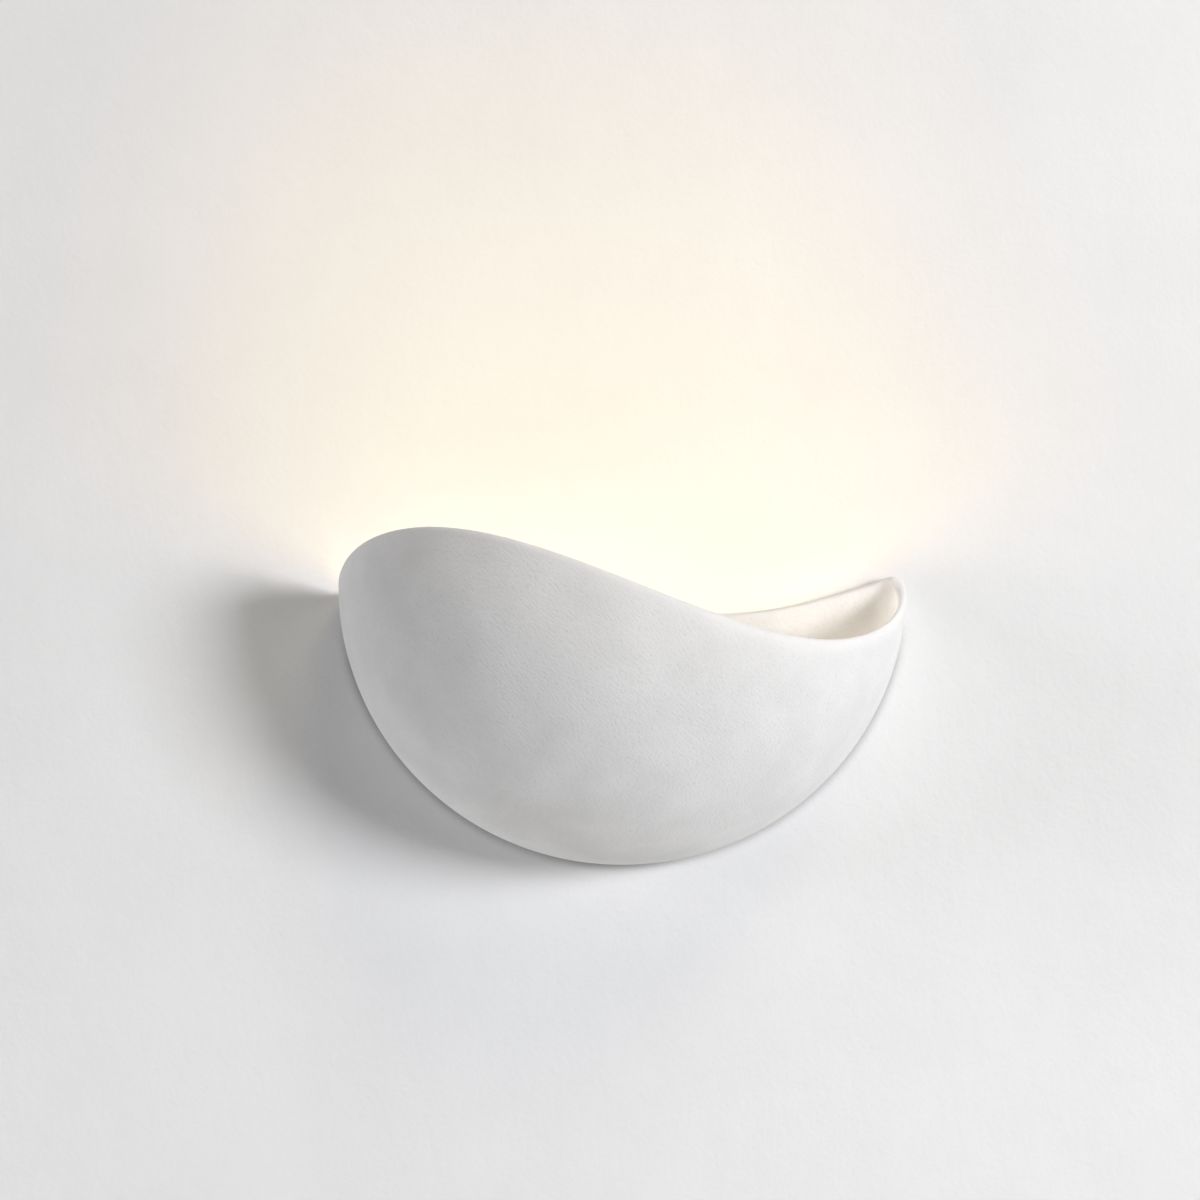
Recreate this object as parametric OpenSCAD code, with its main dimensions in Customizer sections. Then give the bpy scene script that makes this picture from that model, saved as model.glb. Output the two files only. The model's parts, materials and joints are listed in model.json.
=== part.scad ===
// Uplighter wall sconce: a cast bowl with a wavy rim hangs on a steel wall plate that carries the light.
// Millimetres. +Z is up, the room's wall is the plane Y = 0 and the bowl stands out towards -Y.
// The origin is midway between the two wall fixings, on the wall.

/* [Bowl] */
// Width of the bowl across its tips
bowl_w = 300; // [290:1:340]
// How far the bowl stands out from the wall
bowl_out = 145; // [140:1:180]
// Depth of the bowl below its widest line
bowl_drop = 148; // [144:1:180]
// Height of the widest line above the wall fixings
bowl_rise = 72; // [70:0.5:75]
// Thickness of the curved wall
shell_t = 7; // [5:0.5:9]
// Thickness of the flat wall at the back
back_t = 8; // [6:0.5:10]
// Radius inside the bowl where the curved wall meets the back
inner_corner_r = 10; // [4:1:14]
// Radius of the outer edge next to the wall
outer_corner_r = 1.5; // [0.5:0.5:3]

/* [Wavy rim, heights from the widest line] */
// Height of the left tip
tip_left_z = -3; // [-8:0.5:12]
// Height of the right tip
tip_right_z = 4.5; // [0:0.5:12]
// Swing of the wave: up on the left, down on the right
rim_wave = 29.3; // [10:0.1:32]
// How far the middle of the front rim is raised against the crest and the trough
rim_shoulder = 1.2; // [0:0.1:4]
// How far the crest and the trough lean towards the middle
rim_roll = 1.2; // [0:0.1:4]
// Depth of the level middle of the back edge
back_dip = 15.2; // [5:0.1:22]
// Width of the level middle of the back edge
back_level_w = 100; // [40:1:160]
// Height of the rounding on the back edge
back_round_h = 2; // [1:0.5:4]

/* [Hanging] */
// Free space on each side of the wall plate in the window of the bowl's back
window_gap = 3.5; // [3:0.5:8]
// Corner radius of the window
window_r = 6; // [3:0.5:10]
// How far the bowl can be lifted, to clear the hooks
lift = 12; // [10:0.5:13]
// Distance between the centres of the two hooks
hook_pitch = 80; // [70:1:90]
// Width of a hook
hook_w = 16; // [12:1:20]
// Height of a hook's upturned end above its seat
hook_lip = 9; // [6:0.5:9.5]
// Thickness of the rubber sleeve on a hook
sleeve_t = 1; // [0.8:0.1:1.5]
// Thickness of the steel clip on the edge of the window
clip_t = 0.9; // [0.6:0.1:0.9]
// Height of the clip's legs
clip_h = 12; // [8:1:16]
// Thickness of the pads behind the bowl
pad_t = 1; // [1:0.1:2]
// Diameter of a pad
pad_d = 14; // [8:1:18]

/* [Wall plate] */
// How far the wall plate reaches past the light tray at each end
plate_edge = 0.1; // [0:0.1:1]
// Thickness of the plate
plate_t = 2; // [1.5:0.1:2.5]
// How far the plate reaches below the wall fixings
plate_below = 25; // [24:0.5:26]
// Height of the hooks' seats above the wall fixings
seat_z = 25; // [24:0.5:26]
// Distance between the two wall fixings
fixing_pitch = 100; // [96:1:102]
// Width of a fixing slot
slot_w = 5.2; // [4.2:0.1:6]
// Length of a fixing slot
slot_l = 11; // [8:0.5:12]
// Sideways place of the cable entry
cable_x = 20; // [18:0.5:24]
// Height of the cable entry below the wall fixings
cable_down = 12; // [11:0.5:13]
// Bore of the cable grommet
cable_bore = 9; // [6:0.5:10]
// Wall of the grommet in the plate
grommet_wall = 2; // [1.5:0.1:2.5]

/* [Light tray] */
// How far the tray reaches out from the wall
tray_out = 80; // [78:1:92]
// Thickness of the tray's sheet
tray_t = 2; // [1.5:0.1:2.5]
// Height of the tray's top above the wall fixings
tray_z = 18; // [17:0.5:19]
// Height of the tray's turned-up edges
tray_lip = 5; // [3:0.5:7]
// Height of the flange that is screwed to the wall plate
flange_h = 14; // [12:0.5:14]
// Width of that flange
flange_w = 68; // [64:1:72]
// Distance between the flange's screws
flange_pitch = 52; // [48:1:54]
// Diameter of the hole for the light's wires
wire_hole_d = 9; // [8.5:0.5:9.5]

/* [Light] */
// Length of the circuit board
board_l = 72; // [68:1:78]
// Depth of the circuit board
board_d = 34; // [32:1:36]
// Thickness of the circuit board
board_t = 1.6; // [1:0.1:2]
// Thickness of the heat pad below the board
heat_pad_t = 0.5; // [0.3:0.1:1]
// Light chips in a row
chips_in_row = 7; // [3:1:7]
// Rows of light chips
chip_rows = 3; // [1:1:3]
// Distance between neighbouring chips
chip_pitch = 8; // [6:0.5:8]
// Width of a chip
chip_w = 3.5; // [2.8:0.1:4]
// Height of a chip
chip_t = 0.8; // [0.5:0.1:1.2]
// Depth of the frosted cover
cover_d = 46; // [44:1:50]
// Height of the frosted cover
cover_h = 14; // [12:0.5:15]
// Wall of the frosted cover
cover_t = 2; // [1.5:0.1:2.5]
// Corner radius of the frosted cover
cover_r = 6; // [4:0.5:8]

/* [Driver] */
// Length of the driver's case
driver_l = 74; // [70:1:80]
// Depth of the case
driver_d = 36; // [34:1:40]
// Height of the case with its lid
driver_h = 20; // [18:0.5:21]
// Wall of the case
driver_wall = 1.6; // [1.2:0.1:2]

/* [Terminal block] */
// Distance between neighbouring poles
pole_pitch = 10; // [9:0.5:10.5]
// Distance of the middle pole from the centre of the plate
pole_x = 20; // [19:0.5:22]
// Height of the block
block_h = 19; // [18:0.5:20]
// Depth of the block behind its levers
block_d = 14; // [13:0.5:15]
// How far the block's top lies below the wall fixings
block_down = 2; // [1.5:0.5:3]
// Length of a lever from its pivot
lever_l = 14; // [12:0.5:15]
// Running clearance of a lever's pivot
pivot_gap = 0.05; // [0.02:0.01:0.1]

/* [Fasteners and wires] */
// Thread of the screws and the stud in the wall plate
large_thread = 4; // [4:0.5:5]
// Thread of the small screws
small_thread = 3; // [2.5:0.5:3.5]
// Clearance round a screw in its hole
screw_gap = 0.15; // [0.1:0.05:0.3]
// Diameter of an insulated wire
wire_d = 1.8; // [1.4:0.1:2.2]

/* [Hidden] */
$fn = 48;
cut = 1;            // how far a cutting shape reaches past the face it cuts
fit_gap = 0.3;      // space between neighbouring pieces that aren't a running fit
thread_gap = 0.1;   // how much wider a threaded hole is than its thread
bore_gap = 0.15;    // space round a wire in its hole

// ---- Bowl: a quarter of an ellipsoid with a flat back, walls and rim as one mesh ----

half_w = bowl_w / 2;
back_y = -pad_t;                                  // rear face of the bowl
inner_back_y = back_y - back_t;                   // the back wall's face inside the bowl
back_reach = half_w - shell_t - inner_corner_r;   // how far the flat inner face of the back reaches
front_steps = 60;
back_steps = 22;
corner_steps = 6;
outer_rings = 17;
inner_rings = 13;
lip_steps = 6;

// A place on an outline seen from above is [part, position], and parts go round from the back's left end
BACK = 0;
LEFT = 1;
FRONT = 2;
RIGHT = 3;

// How far round the front the outer wall starts that lies abreast of the inner one
tip_angle = asin((back_t + inner_corner_r - outer_corner_r) / (bowl_out - pad_t - outer_corner_r));

// A station is [outer place, inner place], so that each slice through the wall runs square to it
function corner_station(part, q) =
    let (round_front = tip_angle * (3 * q - 2))
    [3 * q < 2 ? [part, 1.5 * q] : [FRONT, part == LEFT ? round_front : 180 - round_front], [part, q]];
stations = concat(
    [for (i = [0 : back_steps]) [[BACK, cos(180 * i / back_steps)], [BACK, cos(180 * i / back_steps)]]],
    [for (i = [1 : corner_steps - 1]) corner_station(LEFT, i / corner_steps)],
    [for (i = [0 : front_steps])
        [[FRONT, tip_angle + (180 - 2 * tip_angle) * i / front_steps], [FRONT, 180 * i / front_steps]]],
    [for (i = [corner_steps - 1 : -1 : 1]) corner_station(RIGHT, i / corner_steps)]
);

// Outline seen from above, at half-width w and depth d in front of y, with corners of radius r.
// The back's places reach out to b, and a corner's places share the rest of the back and the arc.
function corner_plan(q, w, y, r, b) =
    let (a = 90 * (b < w - r ? max(0, 2 * q - 1) : q), x = b < w - r ? min(1, 2 * q) : 1)
    [b + (w - r - b) * x + r * sin(a), y - r * (1 - cos(a))];
function plan(place, w, d, y, r, b) =
    place[0] == BACK ? [place[1] * b, y] :
    place[0] == FRONT ? [-w * cos(place[1]), y - r - (d - r) * sin(place[1])] :
    let (p = corner_plan(place[1], w, y, r, b))
    [(place[0] == LEFT ? -1 : 1) * p.x, p.y];

// Height of the lip at a place of the outer wall, front and back
function front_lip_z(a) =
    tip_left_z * (1 + cos(a)) / 2 + tip_right_z * (1 - cos(a)) / 2
    + rim_wave * sin(2 * a) - rim_shoulder * sin(3 * a) - rim_roll * sin(4 * a);
function rise(u) = u * u * (4 - pow(u, 4)) / 3;
function back_lip_z(x) =
    let (u = max(0, (abs(x) - back_level_w / 2) / (half_w - back_level_w / 2)))
    -back_dip + (back_dip + (x < 0 ? tip_left_z : tip_right_z)) * rise(u);
function lip_z(place) =
    place[0] == FRONT ? front_lip_z(place[1]) :
    back_lip_z(plan(place, half_w, bowl_out, 0, outer_corner_r, back_reach).x);

// Height of the lip's rounding at a place of the inner wall
function lip_round(place) =
    let (front_share = place[0] == BACK ? 0 : place[0] == FRONT ? 1 : place[1])
    back_round_h + (shell_t / 2 - back_round_h) * front_share;

// A point of a bowl surface: fraction f of the way from its lowest point to height z
function skin(place, f, z, w, d, drop, y, r) =
    let (tilt = f * acos(-z / drop), k = sin(tilt), round = min(r, w * k / 4, d * k / 4))
    let (p = plan(place, w * k, d * k, y, round, min(back_reach * k, w * k - round)))
    [p.x, p.y, bowl_rise - drop * cos(tilt)];
function outer_skin(place, f, z) =
    skin(place, f, z, half_w, bowl_out + back_y, bowl_drop, back_y, outer_corner_r);
function inner_skin(place, f, z) =
    skin(place, f, z, half_w - shell_t, bowl_out - shell_t + inner_back_y, bowl_drop - shell_t,
        inner_back_y, inner_corner_r);

// A slice through the wall, from the bottom up the outside, over the lip and down the inside
function profile(st) =
    let (r = lip_round(st[1]), z = lip_z(st[0]) - r)
    let (po = outer_skin(st[0], 1, z), pi = inner_skin(st[1], 1, z))
    concat(
        [for (j = [1 : outer_rings]) outer_skin(st[0], j / outer_rings, z)],
        [for (k = [1 : lip_steps - 1])
            let (a = 180 * k / lip_steps)
            (po + pi) / 2 + (po - pi) / 2 * cos(a) + [0, 0, r * sin(a)]],
        [for (j = [inner_rings : -1 : 1]) inner_skin(st[1], j / inner_rings, z)]
    );

module bowl_casting() {
    rings = outer_rings + lip_steps - 1 + inner_rings;
    count = len(stations);
    bottom = [0, back_y, bowl_rise - bowl_drop];
    inner_bottom = [0, inner_back_y, bowl_rise - bowl_drop + shell_t];
    points = concat([bottom], [for (st = stations) each profile(st)], [inner_bottom]);
    last = len(points) - 1;
    function at(s, k) = 1 + (s % count) * rings + k;
    faces = concat(
        [for (s = [0 : count - 1]) [0, at(s, 0), at(s + 1, 0)]],
        [for (s = [0 : count - 1], k = [0 : rings - 2]) each [
            [at(s, k), at(s, k + 1), at(s + 1, k + 1)],
            [at(s, k), at(s + 1, k + 1), at(s + 1, k)]]],
        [for (s = [0 : count - 1]) [at(s, rings - 1), last, at(s + 1, rings - 1)]]
    );
    polyhedron(points, faces);
}

// ---- Places that several pieces share ----

ear_l = 7;                                        // screw ears of the cover and the driver
ear_w = 11;
side_gap = 0.5;                                   // beside what lies between two walls
wire_flange_d = wire_hole_d + 2.4;
cover_y = -tray_out / 2 - 6;                      // centre line of the light
wire_hole = [board_l / 2 + side_gap + wire_flange_d / 2, cover_y + 14];
cover_l = 2 * (wire_hole.x + wire_flange_d / 2 + side_gap + cover_t);
tray_w = cover_l + 2 * (ear_l + side_gap + tray_t);
plate_w = tray_w + 2 * plate_edge;
window_w = plate_w + 2 * window_gap;
window_top = seat_z + sleeve_t + clip_t;
window_bottom = -plate_below - lift - 3;          // the lifted bowl still clears the plate
hook_gap = back_t + pad_t + clip_t + fit_gap;     // from the wall to the sleeve on a hook's upturned end
lip_front_y = -(hook_gap + sleeve_t + plate_t);
tray_bottom = tray_z - tray_t;
flange_y = -plate_t - tray_t;
flange_screw_z = tray_z - flange_h / 2 - tray_t / 2;
board_z = tray_z + heat_pad_t;
chip_z = board_z + board_t;
wire_bend = 4.5;                                  // room for the wires between the driver and their hole
driver_right = wire_hole.x - wire_flange_d / 2 - wire_bend;
driver_left = driver_l - driver_right;
driver_x = (driver_right - driver_left) / 2;
driver_y = cover_y + 2;
driver_z = tray_bottom - driver_h;
lid_t = driver_wall;
block_top = -block_down;
block_bottom = block_top - block_h;
block_y = -plate_t - block_d;
pole_xs = [for (i = [-1 : 1]) -pole_x + i * pole_pitch];
block_floor = 4;
block_roof = 3;
block_rear = 2;
block_ear_t = 3;
block_ear_h = 8;
block_screw_z = block_top - block_h / 2;
cheek_t = 1.6;
cheek_d = 4;
lever_t = 2.3;
lever_w = pole_pitch - cheek_t - 2 * fit_gap;
pivot_r = 1.1;
barrel_r = 1.8;
pivot_y = block_y - barrel_r - 0.2;
pivot_z = block_bottom + 3;
stud_x = 44;
stud_z = -15;
large_head_d = large_thread * 2;
large_head_h = large_thread * 0.6;
small_head_d = small_thread * 1.85;
small_head_h = small_thread * 0.6;

// ---- Shapes used again and again ----

// Turns a shape that is drawn on X and Z and rises towards the room
module towards_room(x = 0, y = 0, z = 0) {
    translate([x, y, z]) rotate([90, 0, 0]) children();
}

module rounded_rect(w, h, r) {
    square([w - 2 * r, h], center = true);
    square([w, h - 2 * r], center = true);
    for (sx = [-1, 1], sy = [-1, 1])
        translate([sx * (w / 2 - r), sy * (h / 2 - r)]) circle(r);
}

module slot(length, width) {
    square([length - width, width], center = true);
    for (side = [-1, 1]) translate([side * (length - width) / 2, 0]) circle(d = width);
}

module ring(outer_d, inner_d, h) {
    difference() {
        cylinder(d = outer_d, h = h);
        translate([0, 0, -cut]) cylinder(d = inner_d, h = h + 2 * cut);
    }
}

// Pan-head screw with a cross recess, its seat at z = 0 and its head above
module pan_screw(thread, length, head_d, head_h) {
    recess_l = head_d * 0.55;
    recess_w = thread * 0.2;
    difference() {
        union() {
            translate([0, 0, -length]) cylinder(d = thread, h = length);
            intersection() {
                cylinder(d = head_d, h = head_h);
                translate([0, 0, head_h - head_d * 0.75]) sphere(r = head_d * 0.75);
            }
        }
        for (a = [0, 90]) rotate(a)
            translate([-recess_l / 2, -recess_w / 2, head_h * 0.45]) cube([recess_l, recess_w, head_h]);
    }
}

// Smooth path through hand-chosen points, and a round tube along it
function spline(a, b, c, d, t) =
    0.5 * (2 * b + (c - a) * t + (2 * a - 5 * b + 4 * c - d) * t * t + (3 * b - 3 * c + d - a) * t * t * t);
function smooth_path(p, steps) =
    let (n = len(p) - 1)
    concat(
        [for (i = [0 : n - 1], k = [0 : steps - 1])
            spline(p[max(i - 1, 0)], p[i], p[i + 1], p[min(i + 2, n)], k / steps)],
        [p[n]]
    );
function unit(v) = v / norm(v);
function flatten_to(v, t) = unit(v - (v * t) * t);
module tube(path, r, sides = 8) {
    n = len(path) - 1;
    tangents = [for (i = [0 : n]) unit(path[min(i + 1, n)] - path[max(i - 1, 0)])];
    start = abs(tangents[0].z) > 0.7 ? [1, 0, 0] : [0, 0, 1];
    normals = [for (i = 0, v = flatten_to(start, tangents[0]); i <= n;
        i = i + 1, v = i <= n ? flatten_to(v, tangents[i]) : v) v];
    points = concat(
        [path[0]],
        [for (i = [0 : n], k = [0 : sides - 1])
            let (a = 360 * k / sides)
            path[i] + r * (cos(a) * normals[i] + sin(a) * cross(tangents[i], normals[i]))],
        [path[n]]
    );
    last = len(points) - 1;
    function at(i, k) = 1 + i * sides + k % sides;
    polyhedron(points, concat(
        [for (k = [0 : sides - 1]) [0, at(0, k), at(0, k + 1)]],
        [for (i = [0 : n - 1], k = [0 : sides - 1]) each [
            [at(i, k), at(i + 1, k), at(i + 1, k + 1)],
            [at(i, k), at(i + 1, k + 1), at(i, k + 1)]]],
        [for (k = [0 : sides - 1]) [last, at(n, k + 1), at(n, k)]]
    ));
}

// ---- The bowl and what is on it ----

module bowl_shell() {
    color("white") difference() {
        bowl_casting();
        towards_room(0, cut, (window_top + window_bottom) / 2)
            linear_extrude(cut + pad_t + back_t + fit_gap)
                rounded_rect(window_w, window_top - window_bottom, window_r);
    }
}

// Steel clips that fold round the window's upper edge where the hooks bear
module hanger_clips() {
    depth = back_t + 2 * clip_t;
    color("gainsboro") for (side = [-1, 1])
        translate([side * hook_pitch / 2 - hook_w / 2 - 1, back_y + clip_t - depth, window_top - clip_t])
            difference() {
                cube([hook_w + 2, depth, clip_h]);
                translate([-cut, clip_t, clip_t]) cube([hook_w + 2 + 2 * cut, back_t, clip_h]);
            }
}

module back_pads() {
    color("dimgray") for (side = [-1, 1]) {
        towards_room(side * bowl_w * 0.36, 0, bowl_rise - 35) cylinder(d = pad_d, h = pad_t);
        towards_room(side * bowl_w * 0.16, 0, window_bottom - pad_d / 2 - 5) cylinder(d = pad_d, h = pad_t);
    }
}

// ---- The wall plate and what is on it ----

module wall_plate() {
    hole_r = cable_bore / 2 + grommet_wall;
    color("silver") difference() {
        union() {
            towards_room(0, 0, (seat_z - plate_below) / 2) linear_extrude(plate_t)
                rounded_rect(plate_w, seat_z + plate_below, 4);
            for (side = [-1, 1])
                translate([side * hook_pitch / 2 - hook_w / 2, lip_front_y, seat_z - plate_t]) {
                    cube([hook_w, -lip_front_y, plate_t]);
                    cube([hook_w, plate_t, plate_t + hook_lip]);
                }
        }
        for (side = [-1, 1]) {
            towards_room(side * fixing_pitch / 2, cut, 0) linear_extrude(plate_t + 2 * cut)
                slot(slot_l, slot_w);
            towards_room(side * flange_pitch / 2, cut, flange_screw_z)
                cylinder(d = large_thread + thread_gap, h = plate_t + 2 * cut);
            towards_room(-pole_x + side * block_ear_x, cut, block_screw_z)
                cylinder(d = small_thread + thread_gap, h = plate_t + 2 * cut);
        }
        towards_room(cable_x, cut, -cable_down) cylinder(r = hole_r, h = plate_t + 2 * cut);
        towards_room(stud_x, cut, stud_z) cylinder(d = large_thread + thread_gap, h = plate_t + 2 * cut);
    }
}

module hook_sleeves() {
    color("black") for (side = [-1, 1])
        translate([side * hook_pitch / 2 - hook_w / 2, 0, seat_z]) {
            translate([0, -hook_gap - sleeve_t, 0]) cube([hook_w, hook_gap + sleeve_t - plate_t, sleeve_t]);
            translate([0, -hook_gap - sleeve_t, 0]) cube([hook_w, sleeve_t, hook_lip]);
        }
}

module cable_grommet() {
    hole_d = cable_bore + 2 * grommet_wall;
    flange_d = hole_d + 5;
    color("black") towards_room(cable_x, 0, -cable_down) {
        ring(hole_d - 0.1, cable_bore, plate_t + 0.2);
        translate([0, 0, plate_t + 0.1]) ring(flange_d, cable_bore, 1.8);
    }
}

// ---- The light tray ----

module light_tray() {
    lip_back = 16;
    color("lightgray") difference() {
        union() {
            translate([-tray_w / 2, -tray_out, tray_bottom]) cube([tray_w, tray_out - plate_t, tray_t]);
            translate([-tray_w / 2, -tray_out, tray_bottom]) cube([tray_w, tray_t, tray_t + tray_lip]);
            for (side = [0, 1])
                translate([-tray_w / 2 + side * (tray_w - tray_t), -tray_out, tray_bottom])
                    cube([tray_t, tray_out - lip_back, tray_t + tray_lip]);
            translate([-flange_w / 2, flange_y, tray_z - flange_h]) cube([flange_w, tray_t, flange_h]);
        }
        for (side = [-1, 1]) {
            towards_room(side * flange_pitch / 2, flange_y + tray_t + cut, flange_screw_z)
                cylinder(d = large_thread + 2 * screw_gap, h = tray_t + 2 * cut);
            translate([side * board_screw_x, cover_y, tray_bottom - cut])
                cylinder(d = small_thread + thread_gap, h = tray_t + 2 * cut);
            translate([side * cover_screw_x, cover_y, tray_bottom - cut])
                cylinder(d = small_thread + thread_gap, h = tray_t + 2 * cut);
            translate([driver_x + side * driver_screw_x, driver_y, tray_bottom - cut])
                cylinder(d = small_thread + thread_gap, h = tray_t + 2 * cut);
        }
        translate([wire_hole.x, wire_hole.y, tray_bottom - cut])
            cylinder(d = wire_hole_d, h = tray_t + 2 * cut);
    }
}

module tray_screws() {
    color("silver") for (side = [-1, 1])
        towards_room(side * flange_pitch / 2, flange_y, flange_screw_z)
            pan_screw(large_thread, tray_t + plate_t, large_head_d, large_head_h);
}

module wire_grommet() {
    bore = wire_hole_d - 2;
    color("black") translate([wire_hole.x, wire_hole.y, tray_bottom]) {
        ring(wire_hole_d - 0.1, bore, tray_t);
        translate([0, 0, -1]) ring(wire_flange_d, bore, 1);
        translate([0, 0, tray_t]) ring(wire_flange_d, bore, 1);
    }
}

// ---- The light ----

board_screw_x = board_l / 2 - 4.5;
cover_screw_x = cover_l / 2 + ear_l / 2;

module board_plate(thickness, z) {
    difference() {
        translate([0, cover_y, z]) linear_extrude(thickness) rounded_rect(board_l, board_d, 1.5);
        for (side = [-1, 1]) translate([side * board_screw_x, cover_y, z - cut])
            cylinder(d = small_thread + 2 * screw_gap, h = thickness + 2 * cut);
    }
}

module heat_pad() { color("slategray") board_plate(heat_pad_t, tray_z); }

module led_board() { color("white") board_plate(board_t, board_z); }

module led_chips() {
    color("gold") for (i = [0 : chips_in_row - 1], j = [0 : chip_rows - 1])
        translate([(i - (chips_in_row - 1) / 2) * chip_pitch - chip_w / 2,
                cover_y + (j - (chip_rows - 1) / 2) * chip_pitch - chip_w / 2, chip_z])
            cube([chip_w, chip_w, chip_t]);
}

connector = [6, 6, 4];
connector_x = board_l / 2 - connector.x - 0.5;
connector_y = wire_hole.y - connector.y / 2;

module led_connector() {
    color("ivory") difference() {
        translate([connector_x, connector_y, chip_z]) cube(connector);
        for (y = wire_ys) translate([connector_x + connector.x - 3, y, led_wire_z]) rotate([0, 90, 0])
            cylinder(d = wire_d + 2 * bore_gap, h = 3 + cut);
    }
}

module board_screws() {
    color("silver") for (side = [-1, 1]) translate([side * board_screw_x, cover_y, chip_z])
        pan_screw(small_thread, board_t + heat_pad_t + tray_t, small_head_d, small_head_h);
}

module frosted_cover() {
    color("ivory") difference() {
        union() {
            translate([0, cover_y, tray_z]) linear_extrude(cover_h) rounded_rect(cover_l, cover_d, cover_r);
            translate([-cover_l / 2 - ear_l, cover_y - ear_w / 2, tray_z])
                cube([cover_l + 2 * ear_l, ear_w, cover_t]);
        }
        translate([0, cover_y, tray_z - cut]) linear_extrude(cover_h - cover_t + cut)
            rounded_rect(cover_l - 2 * cover_t, cover_d - 2 * cover_t, cover_r - cover_t);
        for (side = [-1, 1]) translate([side * cover_screw_x, cover_y, tray_z - cut])
            cylinder(d = small_thread + 2 * screw_gap, h = cover_t + 2 * cut);
    }
}

module cover_screws() {
    color("silver") for (side = [-1, 1]) translate([side * cover_screw_x, cover_y, tray_z + cover_t])
        pan_screw(small_thread, cover_t + tray_t, small_head_d, small_head_h);
}

// ---- The driver, hung below the tray ----

driver_screw_x = driver_l / 2 + ear_l / 2;
driver_board_t = 1.6;
driver_board_z = driver_z + driver_wall + 2.5;
capacitor_x = driver_l / 2 - 15;
// x, y, diameter and height of each capacitor
capacitors = [[-capacitor_x, -6, 10, 10.5], [-capacitor_x, 7, 8, 10], [capacitor_x, -6, 8, 10]];

module driver_case() {
    color("white") difference() {
        union() {
            translate([driver_x, driver_y, driver_z]) linear_extrude(driver_h - lid_t)
                rounded_rect(driver_l, driver_d, 2);
            translate([driver_x - driver_l / 2 - ear_l, driver_y - ear_w / 2, tray_bottom - 2 * lid_t])
                cube([driver_l + 2 * ear_l, ear_w, lid_t]);
        }
        translate([driver_x, driver_y, driver_z + driver_wall]) linear_extrude(driver_h)
            rounded_rect(driver_l - 2 * driver_wall, driver_d - 2 * driver_wall, 1);
        for (side = [-1, 1]) translate([driver_x + side * driver_screw_x, driver_y, driver_z])
            cylinder(d = small_thread + 2 * screw_gap, h = driver_h);
        for (z = mains_wire_zs) translate([-driver_left - cut, mains_wire_y, z]) rotate([0, 90, 0])
            cylinder(d = wire_d + 2 * bore_gap, h = driver_wall + 2 * cut);
        for (y = wire_ys) translate([driver_right - driver_wall - cut, y, driver_wire_z]) rotate([0, 90, 0])
            cylinder(d = wire_d + 2 * bore_gap, h = driver_wall + 2 * cut);
    }
    // the two posts that carry the circuit board
    color("white") for (side = [-1, 1])
        translate([driver_x + side * (driver_l / 2 - 8), driver_y, driver_z + driver_wall])
            cylinder(d = 5, h = driver_board_z - driver_z - driver_wall);
}

module driver_lid() {
    color("whitesmoke") difference() {
        union() {
            translate([driver_x, driver_y, tray_bottom - lid_t]) linear_extrude(lid_t)
                rounded_rect(driver_l, driver_d, 2);
            translate([driver_x - driver_l / 2 - ear_l, driver_y - ear_w / 2, tray_bottom - lid_t])
                cube([driver_l + 2 * ear_l, ear_w, lid_t]);
        }
        for (side = [-1, 1])
            translate([driver_x + side * driver_screw_x, driver_y, tray_bottom - lid_t - cut])
                cylinder(d = small_thread + 2 * screw_gap, h = lid_t + 2 * cut);
    }
}

module driver_board() {
    gap = driver_wall + fit_gap;
    color("seagreen") translate([driver_x, driver_y, driver_board_z]) linear_extrude(driver_board_t)
        rounded_rect(driver_l - 2 * gap, driver_d - 2 * gap, 0.8);
}

module driver_transformer() {
    z = driver_board_z + driver_board_t;
    h = 10.5;
    color("goldenrod") translate([driver_x + 4, driver_y, z]) {
        translate([-9, -8, 0]) cube([18, 16, 2]);
        translate([-9, -8, h - 2]) cube([18, 16, 2]);
        translate([0, 0, 2]) cylinder(d = 13, h = h - 4);
    }
}

module driver_capacitors() {
    color("dimgray") for (c = capacitors)
        translate([driver_x + c[0], driver_y + c[1], driver_board_z + driver_board_t])
            cylinder(d = c[2], h = c[3]);
}

module driver_screws() {
    color("silver") for (side = [-1, 1])
        translate([driver_x + side * driver_screw_x, driver_y, tray_bottom - 2 * lid_t]) mirror([0, 0, 1])
            pan_screw(small_thread, 2 * lid_t + tray_t, small_head_d, small_head_h);
}

// ---- The terminal block with its levers ----

block_w = 3 * pole_pitch + cheek_t;
block_ear_w = 7;
block_ear_x = block_w / 2 + block_ear_w / 2;
chamber = [pole_pitch - cheek_t - 0.8, block_d - 2 * block_rear, block_h - block_floor - block_roof];
entry_d = 3.6;

module terminal_block() {
    color("lightgray") difference() {
        union() {
            translate([-pole_x - block_w / 2, block_y, block_bottom]) cube([block_w, block_d, block_h]);
            for (i = [0 : 3])
                translate([-pole_x - block_w / 2 + i * pole_pitch, block_y - cheek_d, block_bottom])
                    cube([cheek_t, cheek_d + cut, block_h - 4]);
            translate([-pole_x, -plate_t - block_ear_t / 2, block_screw_z])
                cube([block_w + 2 * block_ear_w, block_ear_t, block_ear_h], center = true);
        }
        for (side = [-1, 1]) towards_room(-pole_x + side * block_ear_x, 0, block_screw_z)
            cylinder(d = small_thread + 2 * screw_gap, h = plate_t + block_ear_t + cut);
        for (x = pole_xs) {
            translate([x - chamber.x / 2, block_y + block_rear, block_bottom + block_floor]) cube(chamber);
            translate([x, wire_entry_y, block_bottom - cut]) cylinder(d = entry_d, h = block_floor + 2 * cut);
            translate([x, wire_entry_y, block_top - block_roof - cut])
                cylinder(d = wire_d + 2 * bore_gap, h = block_roof + 2 * cut);
        }
        translate([-pole_x - block_w / 2 - cut, pivot_y, pivot_z]) rotate([0, 90, 0])
            cylinder(r = pivot_r + pivot_gap, h = block_w + 2 * cut);
    }
}

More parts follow.
